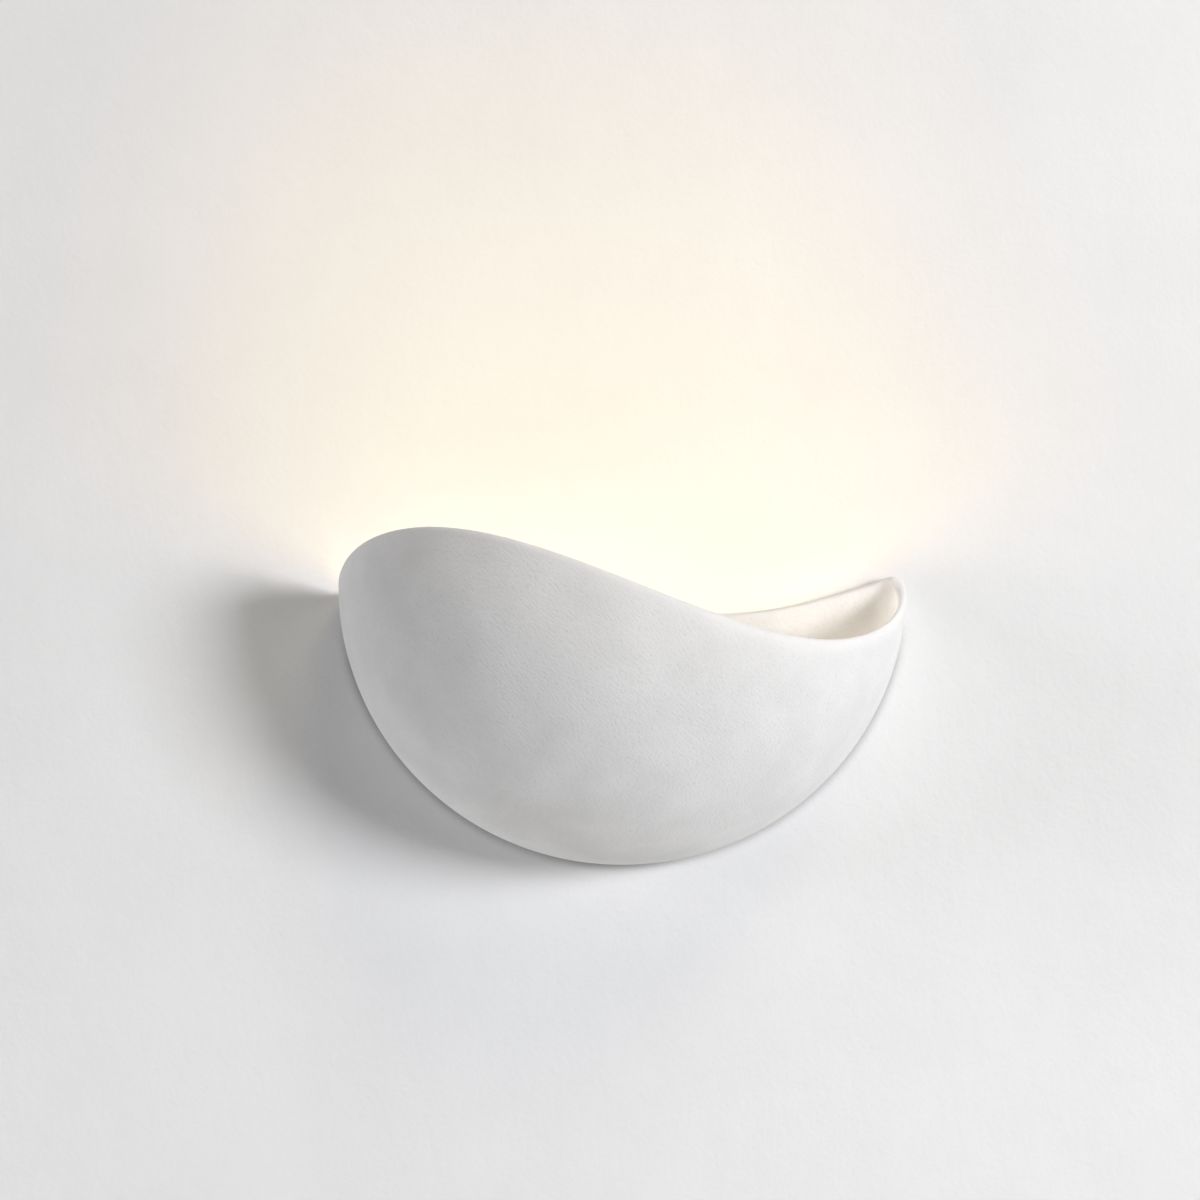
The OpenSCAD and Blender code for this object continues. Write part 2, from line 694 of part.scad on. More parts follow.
module terminal_clamps() {
    color("khaki") for (x = pole_xs) difference() {
        translate([x - chamber.x / 2, block_y + block_rear, block_bottom + block_floor] + fit_gap * [1, 1, 1])
            cube(chamber - 2 * fit_gap * [1, 1, 1]);
        translate([x, wire_entry_y, block_bottom]) cylinder(d = entry_d, h = block_h);
    }
}

module terminal_screws() {
    color("silver") for (side = [-1, 1])
        towards_room(-pole_x + side * block_ear_x, -plate_t - block_ear_t, block_screw_z)
            pan_screw(small_thread, plate_t + block_ear_t, small_head_d, small_head_h);
}

module lever(x) {
    stub = pole_pitch - 0.4;
    color("darkorange") translate([x, pivot_y, pivot_z]) {
        translate([-lever_w / 2, -lever_t + 0.8, 0]) cube([lever_w, lever_t, lever_l]);
        translate([-lever_w / 2, 0, 0]) rotate([0, 90, 0]) cylinder(r = barrel_r, h = lever_w);
        translate([-stub / 2, 0, 0]) rotate([0, 90, 0]) cylinder(r = pivot_r, h = stub);
    }
}

module live_lever() { lever(pole_xs[0]); }

module neutral_lever() { lever(pole_xs[1]); }

module earth_lever() { lever(pole_xs[2]); }

// ---- Earth connection ----

tag_t = 0.8;
tag_d = 8;
tag_barrel_d = wire_d + 1.6;
tag_barrel_z = stud_z + 5.5;
tag_barrel_l = 5.5;
tag_floor = 1.5;
washer_t = 0.8;
nut_t = 3.2;
stud_l = 9;

module earth_stud() {
    color("silver") towards_room(stud_x, 0, stud_z) cylinder(d = large_thread, h = plate_t + stud_l);
}

module earth_tag() {
    color("gold") {
        towards_room(stud_x, -plate_t, stud_z) difference() {
            union() {
                cylinder(d = tag_d, h = tag_t);
                translate([-2, 0, 0]) cube([4, tag_barrel_z - stud_z + 0.5, tag_t]);
            }
            translate([0, 0, -cut]) cylinder(d = large_thread + 2 * screw_gap, h = tag_t + 2 * cut);
        }
        translate([stud_x, earth_wire_y, tag_barrel_z]) difference() {
            cylinder(d = tag_barrel_d, h = tag_barrel_l);
            translate([0, 0, tag_floor]) cylinder(d = wire_d + 2 * bore_gap, h = tag_barrel_l);
        }
    }
}

module earth_washer() {
    color("silver") towards_room(stud_x, -plate_t - tag_t, stud_z)
        ring(tag_d, large_thread + 2 * screw_gap, washer_t);
}

module earth_nut() {
    color("silver") towards_room(stud_x, -plate_t - tag_t - washer_t, stud_z) difference() {
        cylinder(d = large_thread * 2.02, h = nut_t, $fn = 6);
        translate([0, 0, -cut]) cylinder(d = large_thread + thread_gap, h = nut_t + 2 * cut, $fn = 48);
    }
}

// ---- Wires: hand-chosen points in the free space between the pieces they join ----

wire_entry_y = block_y + 5;
mains_wire_y = driver_y + 3;
mains_wire_zs = [driver_z + 13, driver_z + 7];
wire_ys = [wire_hole.y - 1.5, wire_hole.y + 1.5];
driver_wire_z = driver_z + 12;
led_wire_z = chip_z + 2;
earth_wire_y = -plate_t - tag_barrel_d / 2;
wire_steps = 3;

module wire(points, colour) { color(colour) tube(smooth_path(points, wire_steps), wire_d / 2); }

// The straight stretch out of a clamp, up through the block's roof
function clamped_end(x) =
    [for (z = [-block_roof - 3, -block_roof, 0, 1.5]) [x, wire_entry_y, block_top + z]];

// From pole x of the block to the driver's left end, over a bend at height z
module mains_wire(x, first, z, colour) {
    out = -driver_left;
    wire(concat(
        clamped_end(x),
        first,
        [[out - 5, -20, z], [out - 8, -30, z], [out - 7, mains_wire_y + 3, z],
         [out - 3, mains_wire_y, z], [out + driver_wall - 0.3, mains_wire_y, z]]
    ), colour);
}

module live_wire() {
    mains_wire(pole_xs[0],
        [[pole_xs[0] - 3, wire_entry_y - 1, 5], [pole_xs[0] - 9, wire_entry_y - 4, 8]],
        mains_wire_zs[0], "saddlebrown");
}

module neutral_wire() {
    mains_wire(pole_xs[1],
        [[pole_xs[1] - 4, wire_entry_y - 2, 1.5], [pole_xs[1] - 14, wire_entry_y - 4.5, 2.5]],
        mains_wire_zs[1], "royalblue");
}

module earth_wire() {
    x = pole_xs[2];
    wire(concat(
        clamped_end(x),
        [[x + 5, wire_entry_y - 1.5, 2], [14, -11, 2], [32, -9, 2], [stud_x - 2, -5, 1],
         [stud_x, earth_wire_y, -2.5], [stud_x, earth_wire_y, tag_barrel_z + tag_floor + fit_gap]]
    ), "yellowgreen");
}

module led_wire(y, colour) {
    x = wire_hole.x;
    wire([[driver_right - driver_wall + 0.3, y, driver_wire_z], [driver_right + 3, y, driver_wire_z],
        [x - 2, y, driver_wire_z + 2.5], [x, y, tray_bottom], [x - 0.3, y, tray_z + 1.5],
        [x - 3, y, led_wire_z], [connector_x + connector.x - 2.7, y, led_wire_z]], colour);
}

module led_plus_wire() { led_wire(wire_ys[0], "firebrick"); }

module led_minus_wire() { led_wire(wire_ys[1], "black"); }

bowl_shell();
hanger_clips();
back_pads();
wall_plate();
hook_sleeves();
cable_grommet();
light_tray();
tray_screws();
wire_grommet();
heat_pad();
led_board();
led_chips();
led_connector();
board_screws();
frosted_cover();
cover_screws();
driver_case();
driver_lid();
driver_board();
driver_transformer();
driver_capacitors();
driver_screws();
terminal_block();
terminal_clamps();
terminal_screws();
live_lever();
neutral_lever();
earth_lever();
earth_stud();
earth_tag();
earth_washer();
earth_nut();
live_wire();
neutral_wire();
earth_wire();
led_plus_wire();
led_minus_wire();
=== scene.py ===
import json
import math
import bpy
import bmesh
from mathutils import Matrix, Vector

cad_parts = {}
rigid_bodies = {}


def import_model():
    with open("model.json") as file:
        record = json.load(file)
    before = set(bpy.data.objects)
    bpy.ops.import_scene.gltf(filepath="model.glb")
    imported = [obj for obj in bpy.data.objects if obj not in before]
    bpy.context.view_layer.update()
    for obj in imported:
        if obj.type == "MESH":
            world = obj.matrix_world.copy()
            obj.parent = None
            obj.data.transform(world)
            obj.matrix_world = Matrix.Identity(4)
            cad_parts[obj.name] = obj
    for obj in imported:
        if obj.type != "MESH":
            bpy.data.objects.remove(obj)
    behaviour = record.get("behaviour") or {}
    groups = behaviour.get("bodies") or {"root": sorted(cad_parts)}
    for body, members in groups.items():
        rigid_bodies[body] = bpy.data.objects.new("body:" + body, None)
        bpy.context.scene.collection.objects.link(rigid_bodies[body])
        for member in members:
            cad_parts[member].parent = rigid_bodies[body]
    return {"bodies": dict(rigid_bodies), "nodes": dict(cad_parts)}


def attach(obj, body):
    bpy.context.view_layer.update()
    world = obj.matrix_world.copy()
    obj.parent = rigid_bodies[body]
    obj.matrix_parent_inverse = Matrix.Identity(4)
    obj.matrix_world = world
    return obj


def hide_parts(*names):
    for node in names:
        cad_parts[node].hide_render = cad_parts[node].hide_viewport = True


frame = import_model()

# Uplighter wall sconce: a cast bowl with a wavy rim, hung on a steel plate that carries the light.
# +Z is up, the room's wall is the plane Y = 0 and the bowl stands out towards -Y. The scene is in metres, and MM
# turns millimetres into them.

MM = 0.001
TIP_X = 0.14                    # how far out the bowl's tips begin, in metres
WALL_REACH = 1.6                # half the width of the scene's wall
LIGHT_Y, BOARD_TOP = -46, 20.1  # the middle and the top of the light's board, in millimetres
CHIP_PITCH = 8                  # from chip to chip, in millimetres
scene = bpy.context.scene
for left_over in set(bpy.data.objects) - set(frame["nodes"].values()) - set(frame["bodies"].values()):
    bpy.data.objects.remove(left_over)
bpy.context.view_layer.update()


# ---- Camera, at the photograph's place, level with the bowl's upper half ----

camera = bpy.data.objects.new("camera", bpy.data.cameras.new("camera"))
camera.data.lens = 56.1
camera.data.sensor_width = 36
camera.location = (-0.01177, -1.0, 0.06403)
camera.rotation_euler = (math.radians(90), 0, 0)
scene.collection.objects.link(camera)
scene.camera = camera
scene.view_settings.view_transform = "Standard"


# ---- Laying nodes ----

class Nodes:
    """A node tree and what is laid in it."""

    def __init__(self, tree):
        self.tree = tree

    def add(self, kind, inputs=(), **settings):
        """Adds a node. inputs gives values, or outputs to join, by the socket's name or number."""
        node = self.tree.nodes.new(kind)
        for key, value in settings.items():
            setattr(node, key, value)
        for key, value in dict(inputs).items():
            if isinstance(value, bpy.types.Node):
                value = value.outputs[0]
            if isinstance(value, bpy.types.NodeSocket):
                self.tree.links.new(value, node.inputs[key])
            else:
                node.inputs[key].default_value = value
        return node

    def math(self, operation, a, b=0.0, c=0.0):
        return self.add("ShaderNodeMath", {0: a, 1: b, 2: c}, operation=operation).outputs[0]

    def times(self, first, *others):
        for other in others:
            first = self.math("MULTIPLY", first, other)
        return first

    def over(self, a, b):
        return self.math("DIVIDE", a, b)


class Finish(Nodes):
    """A material whose colour, gloss and relief come from patterns in the piece's own coordinates."""

    def __init__(self, name, rough=0.5, metal=0.0, **sockets):
        self.material = bpy.data.materials.new(name)
        self.material.use_nodes = True
        super().__init__(self.material.node_tree)
        self.tree.nodes.clear()
        self.shader = self.add("ShaderNodeBsdfPrincipled", {"Roughness": rough, "Metallic": metal})
        self.output = self.add("ShaderNodeOutputMaterial", {"Surface": self.shader})
        self.place = self.add("ShaderNodeTexCoord").outputs["Object"]
        for key, value in sockets.items():
            self.set(key.replace("_", " ").title().replace("Ior", "IOR"), value)

    def set(self, socket, value):
        if isinstance(value, bpy.types.NodeSocket):
            self.tree.links.new(value, self.shader.inputs[socket])
        else:
            self.shader.inputs[socket].default_value = value

    def stretched(self, stretch, turn=(0, 0, 0)):
        """The piece's coordinates, turned and then stretched."""
        turned = self.add("ShaderNodeMapping", {"Vector": self.place, "Rotation": turn})
        return self.add("ShaderNodeMapping", {"Vector": turned, "Scale": stretch}).outputs[0]

    def noise(self, scale, detail=3.0, rough=0.55, where=None):
        return self.add("ShaderNodeTexNoise", {"Vector": where or self.place, "Scale": scale, "Detail": detail,
                                               "Roughness": rough}).outputs["Fac"]

    def cells(self, scale, output="Distance"):
        return self.add("ShaderNodeTexVoronoi", {"Vector": self.place, "Scale": scale}).outputs[output]

    def remap(self, value, a, b, c=0.0, d=1.0, kind="LINEAR"):
        """Turns the span a to b of a pattern into c to d."""
        return self.add("ShaderNodeMapRange", {"Value": value, "From Min": a, "From Max": b, "To Min": c,
                                               "To Max": d}, interpolation_type=kind).outputs[0]

    def apart(self, value, middle):
        """How far a number is from a middle one."""
        return self.math("ABSOLUTE", self.math("SUBTRACT", value, middle))

    def shades(self, red, green=None, blue=None):
        """A colour from numbers, grey where there is one."""
        return self.add("ShaderNodeCombineColor", {0: red, 1: green or red, 2: blue or red}).outputs[0]

    def blend(self, a, b, share, how="MIX"):
        rgba = [v if isinstance(v, bpy.types.NodeSocket) else (*v, 1.0) for v in (a, b)]
        return self.add("ShaderNodeMix", {0: share, 6: rgba[0], 7: rgba[1]}, data_type="RGBA",
                        blend_type=how).outputs[2]

    def relief(self, height, depth, under=None):
        """Relief of this depth in metres, over what is under it."""
        inputs = {"Height": height, "Distance": depth}
        if under:
            inputs["Normal"] = under
        return self.add("ShaderNodeBump", inputs).outputs[0]

    def worn_edge(self, radius, low=0.02, high=0.25):
        """1 along the piece's sharp edges, 0 on its faces."""
        eased = self.add("ShaderNodeBevel", {"Radius": radius}, samples=4).outputs[0]
        facing = self.add("ShaderNodeNewGeometry").outputs["Normal"]
        along = self.add("ShaderNodeVectorMath", {0: eased, 1: facing}, operation="DOT_PRODUCT").outputs["Value"]
        return self.remap(along, 1 - low, 1 - high)

    def axes(self, names):
        """The piece's coordinates along the axes that are named, such as "XZ"."""
        split = self.add("ShaderNodeSeparateXYZ", {0: self.place})
        return [split.outputs[name] for name in names]

    def share_of(self, name):
        """What a number that is kept on the mesh's points says here."""
        return self.add("ShaderNodeAttribute", attribute_name=name).outputs["Fac"]


# ---- Finishes ----

def cast_plaster():
    """Matt white casting: soft clouding, a fine slanting grain and a few pinholes, painted darker as shade in the
    pits; a lip painted paler as a highlight, a painted warm cast of the lamp's light inside, and painted shade
    towards the right."""
    f = Finish("cast_plaster", rough=0.9, specular_ior_level=0.15)
    clouds = f.remap(f.noise(34, 3, 0.5), 0.32, 0.68)
    broad = f.remap(f.noise(9, 3, 0.5), 0.35, 0.65)
    grain = f.noise(1.0, 2, 0.6, where=f.stretched((1050, 700, 460), turn=(0, math.radians(45), 0)))
    pores = f.remap(f.cells(420), 0.0, 0.12)
    rare = f.remap(f.noise(90, 2), 0.60, 0.64)
    pinhole = f.math("MAXIMUM", pores, f.math("SUBTRACT", 1.0, rare))
    colour = f.blend((0.715, 0.710, 0.703), (0.805, 0.799, 0.792),
                     f.math("MULTIPLY_ADD", clouds, 0.65, f.math("MULTIPLY", broad, 0.35)))
    colour = f.blend(colour, (0.67, 0.66, 0.65), f.remap(grain, 0.46, 0.3, 0.0, 0.5))
    # painted shade: the casting is darkened towards its right, where the key light is strongest
    painted_right_shade = f.remap(f.axes("X")[0], 0.0, TIP_X, 1.0, 0.93)
    colour = f.blend(colour, f.shades(painted_right_shade), 1.0, "MULTIPLY")
    # painted light: the inside is tinted warm, as the lamp's light colours it
    painted_lamp_warmth = f.blend(colour, (1.0, 0.985, 0.965), 1.0, "MULTIPLY")
    colour = f.blend(colour, painted_lamp_warmth, f.share_of("inner"))
    # painted highlight: the lip is painted paler where its rounding catches the light
    colour = f.blend(colour, (0.82, 0.808, 0.808), f.times(f.share_of("lip"), 0.45))
    # painted shade: the pinholes are painted darker, as shade in the pits
    colour = f.blend((0.5, 0.48, 0.46), colour, f.remap(pinhole, 0.0, 1.0, 0.35, 1.0))
    f.set("Base Color", colour)
    f.set("Roughness", f.remap(grain, 0.3, 0.7, 0.82, 0.97))
    swell = f.relief(f.noise(42, 2, 0.4), 0.0004)
    grained = f.relief(grain, 0.00024, swell)
    f.set("Normal", f.relief(pinhole, 0.00015, grained))
    return f.material


def zinc_sheet():
    """Zinc-plated sheet: a soft crystal pattern, rolling lines and bright edges."""
    f = Finish("zinc_sheet", metal=1.0, rough=0.38)
    crystals = f.cells(190, "Color")
    grey = f.add("ShaderNodeRGBToBW", {0: crystals}).outputs[0]
    lines = f.noise(1, 3, where=f.stretched((40, 40, 2600)))
    colour = f.blend((0.55, 0.57, 0.59), (0.68, 0.69, 0.70), grey)
    colour = f.blend(colour, (0.80, 0.81, 0.82), f.worn_edge(0.0004))
    f.set("Base Color", colour)
    f.set("Roughness", f.math("ADD", f.remap(grey, 0, 1, 0.3, 0.42), f.remap(lines, 0.3, 0.7, -0.04, 0.06)))
    f.set("Normal", f.relief(lines, 0.000012, f.relief(grey, 0.00002)))
    return f.material


def powder_coat():
    """White powder coat: orange peel, and paint thinned along the folds."""
    f = Finish("powder_coat", rough=0.4, coat_weight=0.15, coat_roughness=0.25)
    peel = f.noise(620, 2, 0.45)
    thin = f.worn_edge(0.0005, 0.05, 0.4)
    colour = f.blend((0.82, 0.82, 0.81), (0.86, 0.86, 0.85), f.noise(30, 3))
    f.set("Base Color", f.blend(colour, (0.66, 0.66, 0.65), f.times(thin, 0.6)))
    f.set("Roughness", f.remap(peel, 0.3, 0.7, 0.34, 0.46))
    f.set("Normal", f.relief(peel, 0.00006))
    return f.material


def screw_steel():
    """Blue-zinc steel: turning lines and a faint change of tint."""
    f = Finish("screw_steel", metal=1.0, rough=0.3)
    turned = f.noise(3800, 2, 0.6)
    tint = f.noise(160, 2)
    f.set("Base Color", f.blend((0.60, 0.63, 0.67), (0.72, 0.71, 0.66), f.remap(tint, 0.35, 0.65)))
    f.set("Roughness", f.remap(turned, 0.3, 0.7, 0.22, 0.4))
    f.set("Normal", f.relief(turned, 0.00001))
    return f.material


def brass():
    """Tinned brass stampings: brass showing at the edges and a little dull tin over it."""
    f = Finish("tinned_brass", metal=1.0, rough=0.35)
    dull = f.noise(420, 3)
    colour = f.blend((0.72, 0.60, 0.33), (0.78, 0.70, 0.50), f.remap(dull, 0.35, 0.65))
    f.set("Base Color", f.blend(colour, (0.85, 0.66, 0.30), f.worn_edge(0.0003)))
    f.set("Roughness", f.remap(dull, 0.3, 0.7, 0.28, 0.46))
    f.set("Normal", f.relief(f.noise(2600, 2), 0.000015))
    return f.material


def felt():
    """Grey felt: matted fibres over a soft, uneven nap."""
    f = Finish("felt", rough=1.0, sheen_weight=0.5, sheen_roughness=0.5)
    fibres = f.noise(900, 6, 0.75, where=f.stretched((1, 1, 2.2), turn=(0.4, 0.2, 0.7)))
    across = f.noise(1100, 5, 0.75, where=f.stretched((2.4, 1, 1), turn=(0.1, 0.9, 0.3)))
    nap = f.times(f.math("ADD", fibres, across), 0.5)
    colour = f.blend((0.26, 0.26, 0.255), (0.44, 0.435, 0.425), f.remap(nap, 0.38, 0.62))
    f.set("Base Color", f.blend(colour, (0.62, 0.61, 0.59), f.remap(f.noise(2400, 2), 0.62, 0.7, 0, 0.6)))
    f.set("Normal", f.relief(nap, 0.0005))
    return f.material


def rubber():
    """Black rubber: dull, with a grey bloom and a fine moulded skin."""
    f = Finish("black_rubber", rough=0.65, specular_ior_level=0.4)
    bloom = f.noise(240, 4, 0.6)
    f.set("Base Color", f.blend((0.022, 0.022, 0.023), (0.05, 0.05, 0.05), f.remap(bloom, 0.45, 0.7)))
    f.set("Roughness", f.remap(bloom, 0.3, 0.7, 0.55, 0.8))
    f.set("Normal", f.relief(f.noise(2200, 2), 0.00003))
    return f.material


def silicone():
    """Grey-blue heat-conducting silicone sheet with its filler showing as fine specks."""
    f = Finish("heat_silicone", rough=0.75)
    filler = f.cells(1500)
    f.set("Base Color", f.blend((0.36, 0.42, 0.49), (0.46, 0.51, 0.56), f.remap(filler, 0.1, 0.6)))
    f.set("Normal", f.relief(f.noise(900, 3), 0.00004))
    return f.material


def moulded(name, dark, light, rough, spark=0.00003, **sockets):
    """Moulded plastic: a spark-eroded skin and slight flow clouding."""
    f = Finish(name, rough=rough, **sockets)
    skin = f.noise(1900, 3, 0.6)
    f.set("Base Color", f.blend(dark, light, f.remap(f.noise(45, 3), 0.3, 0.7)))
    f.set("Roughness", f.remap(skin, 0.3, 0.7, max(rough - 0.06, 0.05), rough + 0.07))
    f.set("Normal", f.relief(skin, spark))
    return f.material


def opal():
    """Opal cover: milky plastic, lit warm from inside and a little brighter over the rows of chips."""
    f = Finish("opal_plastic", rough=0.42, emission_strength=0.42)
    x, y = f.axes("XY")
    off = (x, f.math("SUBTRACT", y, LIGHT_Y * MM))
    shares = [f.over(way, half) for way, half in zip(off, (0.038, 0.019))]
    lit = f.remap(f.math("ADD", *(f.times(share, share) for share in shares)), 0.2, 2.2, 1.0, 0.0)
    waves = [f.math("COSINE", f.times(way, math.tau / (CHIP_PITCH * MM))) for way in off]
    spots = f.math("ADD", lit, f.times(*waves, 0.03))
    f.set("Base Color", f.blend((0.86, 0.84, 0.80), (0.90, 0.885, 0.85), f.noise(60, 3)))
    f.set("Emission Color", f.blend((0.50, 0.38, 0.25), (0.95, 0.80, 0.58), spots))
    f.set("Normal", f.relief(f.noise(1500, 2), 0.00002))
    return f.material


def circuit(name, mask, copper, pitch, width):
    """Lacquered circuit board with copper runs under the lacquer."""
    f = Finish(name, rough=0.3, coat_weight=0.4, coat_roughness=0.15)
    x, y = f.axes("XY")
    rows = f.apart(f.math("FRACT", f.over(y, pitch)), 0.5)
    links = f.apart(f.math("FRACT", f.over(x, pitch * 2.5)), 0.5)
    runs = f.math("MAXIMUM", f.remap(rows, width, width * 0.7), f.remap(links, width * 0.4, width * 0.3))
    f.set("Base Color", f.blend(mask, copper, runs))
    f.set("Roughness", f.remap(f.noise(700, 2), 0.3, 0.7, 0.24, 0.38))
    f.set("Normal", f.relief(runs, 0.00003, f.relief(f.noise(1400, 2), 0.00001)))
    return f.material


def glow_on_wall(f, x, z):
    """The warm light that leaves the bowl, painted on the wall as a glow: broad and full over it, narrowing and
    leaning to the left as it climbs, and beginning higher past the bowl's tips."""
    climb = f.remap(z, 0.15, 0.45)
    middle = f.remap(z, 0.15, 0.3, -0.015, -0.035)
    half_width = f.math("SUBTRACT", 0.2, f.times(climb, 0.045))
    aside = f.apart(x, middle)
    across = f.math("POWER", 0.5, f.math("POWER", f.over(aside, half_width), 3.2))
    begins = f.remap(aside, 0.1, 0.145, 0.046, 0.066)
    past_tip = f.math("MAXIMUM", f.math("SUBTRACT", aside, TIP_X), 0.0)
    full = f.math("ADD", f.remap(aside, 0.1, 0.145, 0.06, 0.088), f.times(past_tip, 0.8))
    rise = f.remap(z, begins, full, kind="SMOOTHSTEP")
    fall = f.math("SUBTRACT", 1.0, f.math("POWER", climb, 1.25))
    glow = f.times(rise, fall, across)
    return f.shades(*(f.math("MULTIPLY", share, f.math("POWER", glow, falloff))
                      for share, falloff in ((0.235, 1.0), (0.175, 1.25), (0.05, 2.3))))


def wall_paint():
    """Pale wall paint with a faint roller mottle, painted shading that is lighter to the left and lower down and
    darker to the right, a painted contact shadow close to the bowl's lower edge and the bowl's glow painted in as
    emission. From behind, the wall is see-through, and it lets the light from behind pass."""
    f = Finish("wall_paint", rough=0.9, specular_ior_level=0.2, emission_strength=1.0)
    mottle = f.noise(9, 5, 0.6)
    stipple = f.noise(420, 3, 0.6)
    x, z = f.axes("XZ")
    # painted shading across the wall: lighter to the left, darker to the right
    painted_side_shading = f.remap(x, -0.6, 0.6, 1.10, 0.90)
    # painted light: the wall is made lighter towards the bottom
    low = f.remap(z, -0.3, 0.05, 1.08, 1.0)
    far = f.remap(f.math("ABSOLUTE", x), 0.7, WALL_REACH, 1.0, 0.3)
    paint = f.blend((0.81, 0.81, 0.81), (0.835, 0.835, 0.835), f.remap(mottle, 0.35, 0.65))
    paint = f.blend(paint, f.shades(f.times(painted_side_shading, low, far)), 1.0, "MULTIPLY")
    # painted contact shadow: the wall is darkened close to the bowl's edge
    open_air = f.add("ShaderNodeAmbientOcclusion", {"Distance": 0.008}, samples=8).outputs["AO"]
    painted_contact_shadow = f.times(f.remap(open_air, 0.92, 0.55), f.remap(z, 0.03, 0.055, 0.8, 0.0))
    f.set("Base Color", f.blend(paint, (0.22, 0.215, 0.21), painted_contact_shadow))
    f.set("Normal", f.relief(stipple, 0.00012, f.relief(f.noise(60, 3), 0.0005)))
    # painted light: the bowl's warm glow on the wall is painted in as emission
    f.set("Emission Color", glow_on_wall(f, x, z))
    open_to = f.math("MAXIMUM", f.add("ShaderNodeNewGeometry").outputs["Backfacing"],
                     f.add("ShaderNodeLightPath").outputs["Is Shadow Ray"])
    clear = f.add("ShaderNodeBsdfTransparent")
    both = f.add("ShaderNodeMixShader", {0: open_to, 1: f.shader.outputs[0], 2: clear})
    f.tree.links.new(both.outputs[0], f.output.inputs["Surface"])
    return f.material


def seen_directly(nodes):
    """1 where the camera sees something itself, in a gloss or through glass, 0 where it only gives light."""
    path = nodes.add("ShaderNodeLightPath").outputs
    either = nodes.math("MAXIMUM", path["Is Camera Ray"], path["Is Glossy Ray"])
    return nodes.math("MAXIMUM", either, path["Is Transmission Ray"])


def floor_paint():
    """Pale floor paint, evened out where it is seen and not where it only throws light back."""
    f = Finish("floor_paint", rough=0.8, emission_strength=1.0)
    seen = seen_directly(f)
    paint = f.blend((0.72, 0.72, 0.715), (0.75, 0.75, 0.745), f.noise(3, 4))
    f.set("Base Color", f.blend(paint, (0.2, 0.2, 0.199), seen))
    f.set("Emission Color", f.blend((0.0, 0.0, 0.0), (0.58, 0.58, 0.575), seen))
    f.set("Normal", f.relief(f.noise(300, 3), 0.0001))
    return f.material


# ---- Shapes ----

def shade(mesh, angle=35):
    """Smooth faces, sharp where they meet at more than this angle."""
    mesh.shade_smooth()
    mesh.set_sharp_from_angle(angle=math.radians(angle))


def piece(name, mesh, body, nodes, angle=35):
    """A finished mesh as a piece that rides on a body and stands for these nodes."""
    shade(mesh, angle)
    made = bpy.data.objects.new(name, mesh)
    scene.collection.objects.link(made)
    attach(made, body)
    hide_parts(*nodes)
    return made


def mesh_of(name, vertices, faces, material):
    mesh = bpy.data.meshes.new(name)
    mesh.from_pydata([tuple(v) for v in vertices], [], faces)
    mesh.materials.append(material)
    return mesh


def baked(source):
    """The object's evaluated mesh, after which the object is gone."""
    graph = bpy.context.evaluated_depsgraph_get()
    mesh = bpy.data.meshes.new_from_object(source.evaluated_get(graph), preserve_all_data_layers=True,
                                           depsgraph=graph)
    bpy.data.objects.remove(source)
    return mesh


def reshaped(mesh, change):
    """The mesh after a change that is made to it as a whole form."""
    form = bmesh.new()
    form.from_mesh(mesh)
    change(form)
    form.to_mesh(mesh)
    form.free()
    return mesh


def tidy_copy(node):
    """A node's mesh with its loose triangles joined and its flat faces whole."""
    form = bmesh.new()
    form.from_mesh(frame["nodes"][node].data)
    bmesh.ops.remove_doubles(form, verts=form.verts, dist=2e-6)
    bmesh.ops.dissolve_limit(form, angle_limit=math.radians(0.5), verts=form.verts, edges=form.edges)
    return form


def eased(node, material, edge=0.25, folds=(), steps=2):
    """A node's mesh with its sharp edges eased. folds lists (radius, test) for edges rounded more,
    where the test takes the two ends of an edge in millimetres."""
    form = tidy_copy(node)
    for radius, test in folds:
        edges = [e for e in form.edges if not e.is_boundary and e.calc_face_angle(0) > 1
                 and test(e.verts[0].co / MM, e.verts[1].co / MM)]
        bmesh.ops.bevel(form, geom=edges, offset=radius * MM, segments=5, profile=0.5, affect="EDGES",
                        clamp_overlap=True)
    mesh = bpy.data.meshes.new(node + "_eased")
    form.to_mesh(mesh)
    form.free()
    mesh.materials.clear()
    mesh.materials.append(material)
    for face in mesh.polygons:
        face.material_index = 0
    source = bpy.data.objects.new("being_eased", mesh)
    scene.collection.objects.link(source)
    bevel = source.modifiers.new("edges", "BEVEL")
    bevel.width = edge * MM
    bevel.segments = steps
    bevel.limit_method = "ANGLE"
    bevel.angle_limit = math.radians(34)
    return baked(source)


def fixed(name, node, material, edge=0.25, folds=(), steps=2):
    """A node of the wall unit as a piece with eased edges."""
    piece(name, eased(node, material, edge, folds, steps), "wall_unit", [node])


def across(a, b):
    """An edge that runs along X."""
    return abs(a.y - b.y) < 0.01 and abs(a.z - b.z) < 0.01


def facing(x, y, z, way="up"):
    """Places a shape that is drawn upwards, in millimetres, so that it faces up, down or the room."""
    turn = {"up": 0, "down": 180, "room": 90}[way]
    return Matrix.Translation((x * MM, y * MM, z * MM)) @ Matrix.Rotation(math.radians(turn), 4, "X")


def lathe(name, profile, places, material, closed=False, sides=48):
    """A turned shape at each place. The profile is (radius, height) in millimetres, from the bottom up the
    outside; a closed one makes a ring."""
    vertices, faces = [], []
    count = len(profile)
    for place in places:
        first = len(vertices)
        for s in range(sides):
            a = math.tau * s / sides
            vertices += [place @ Vector((r * math.cos(a) * MM, r * math.sin(a) * MM, h * MM)) for r, h in profile]
        for s in range(sides):
            here, there = first + s * count, first + (s + 1) % sides * count
            for k in range(count if closed else count - 1):
                n = (k + 1) % count
                faces.append((here + k, there + k, there + n, here + n))
    return reshaped(mesh_of(name, vertices, faces, material),
                    lambda form: bmesh.ops.remove_doubles(form, verts=form.verts, dist=1e-7))


# ---- Geometry Nodes trees ----

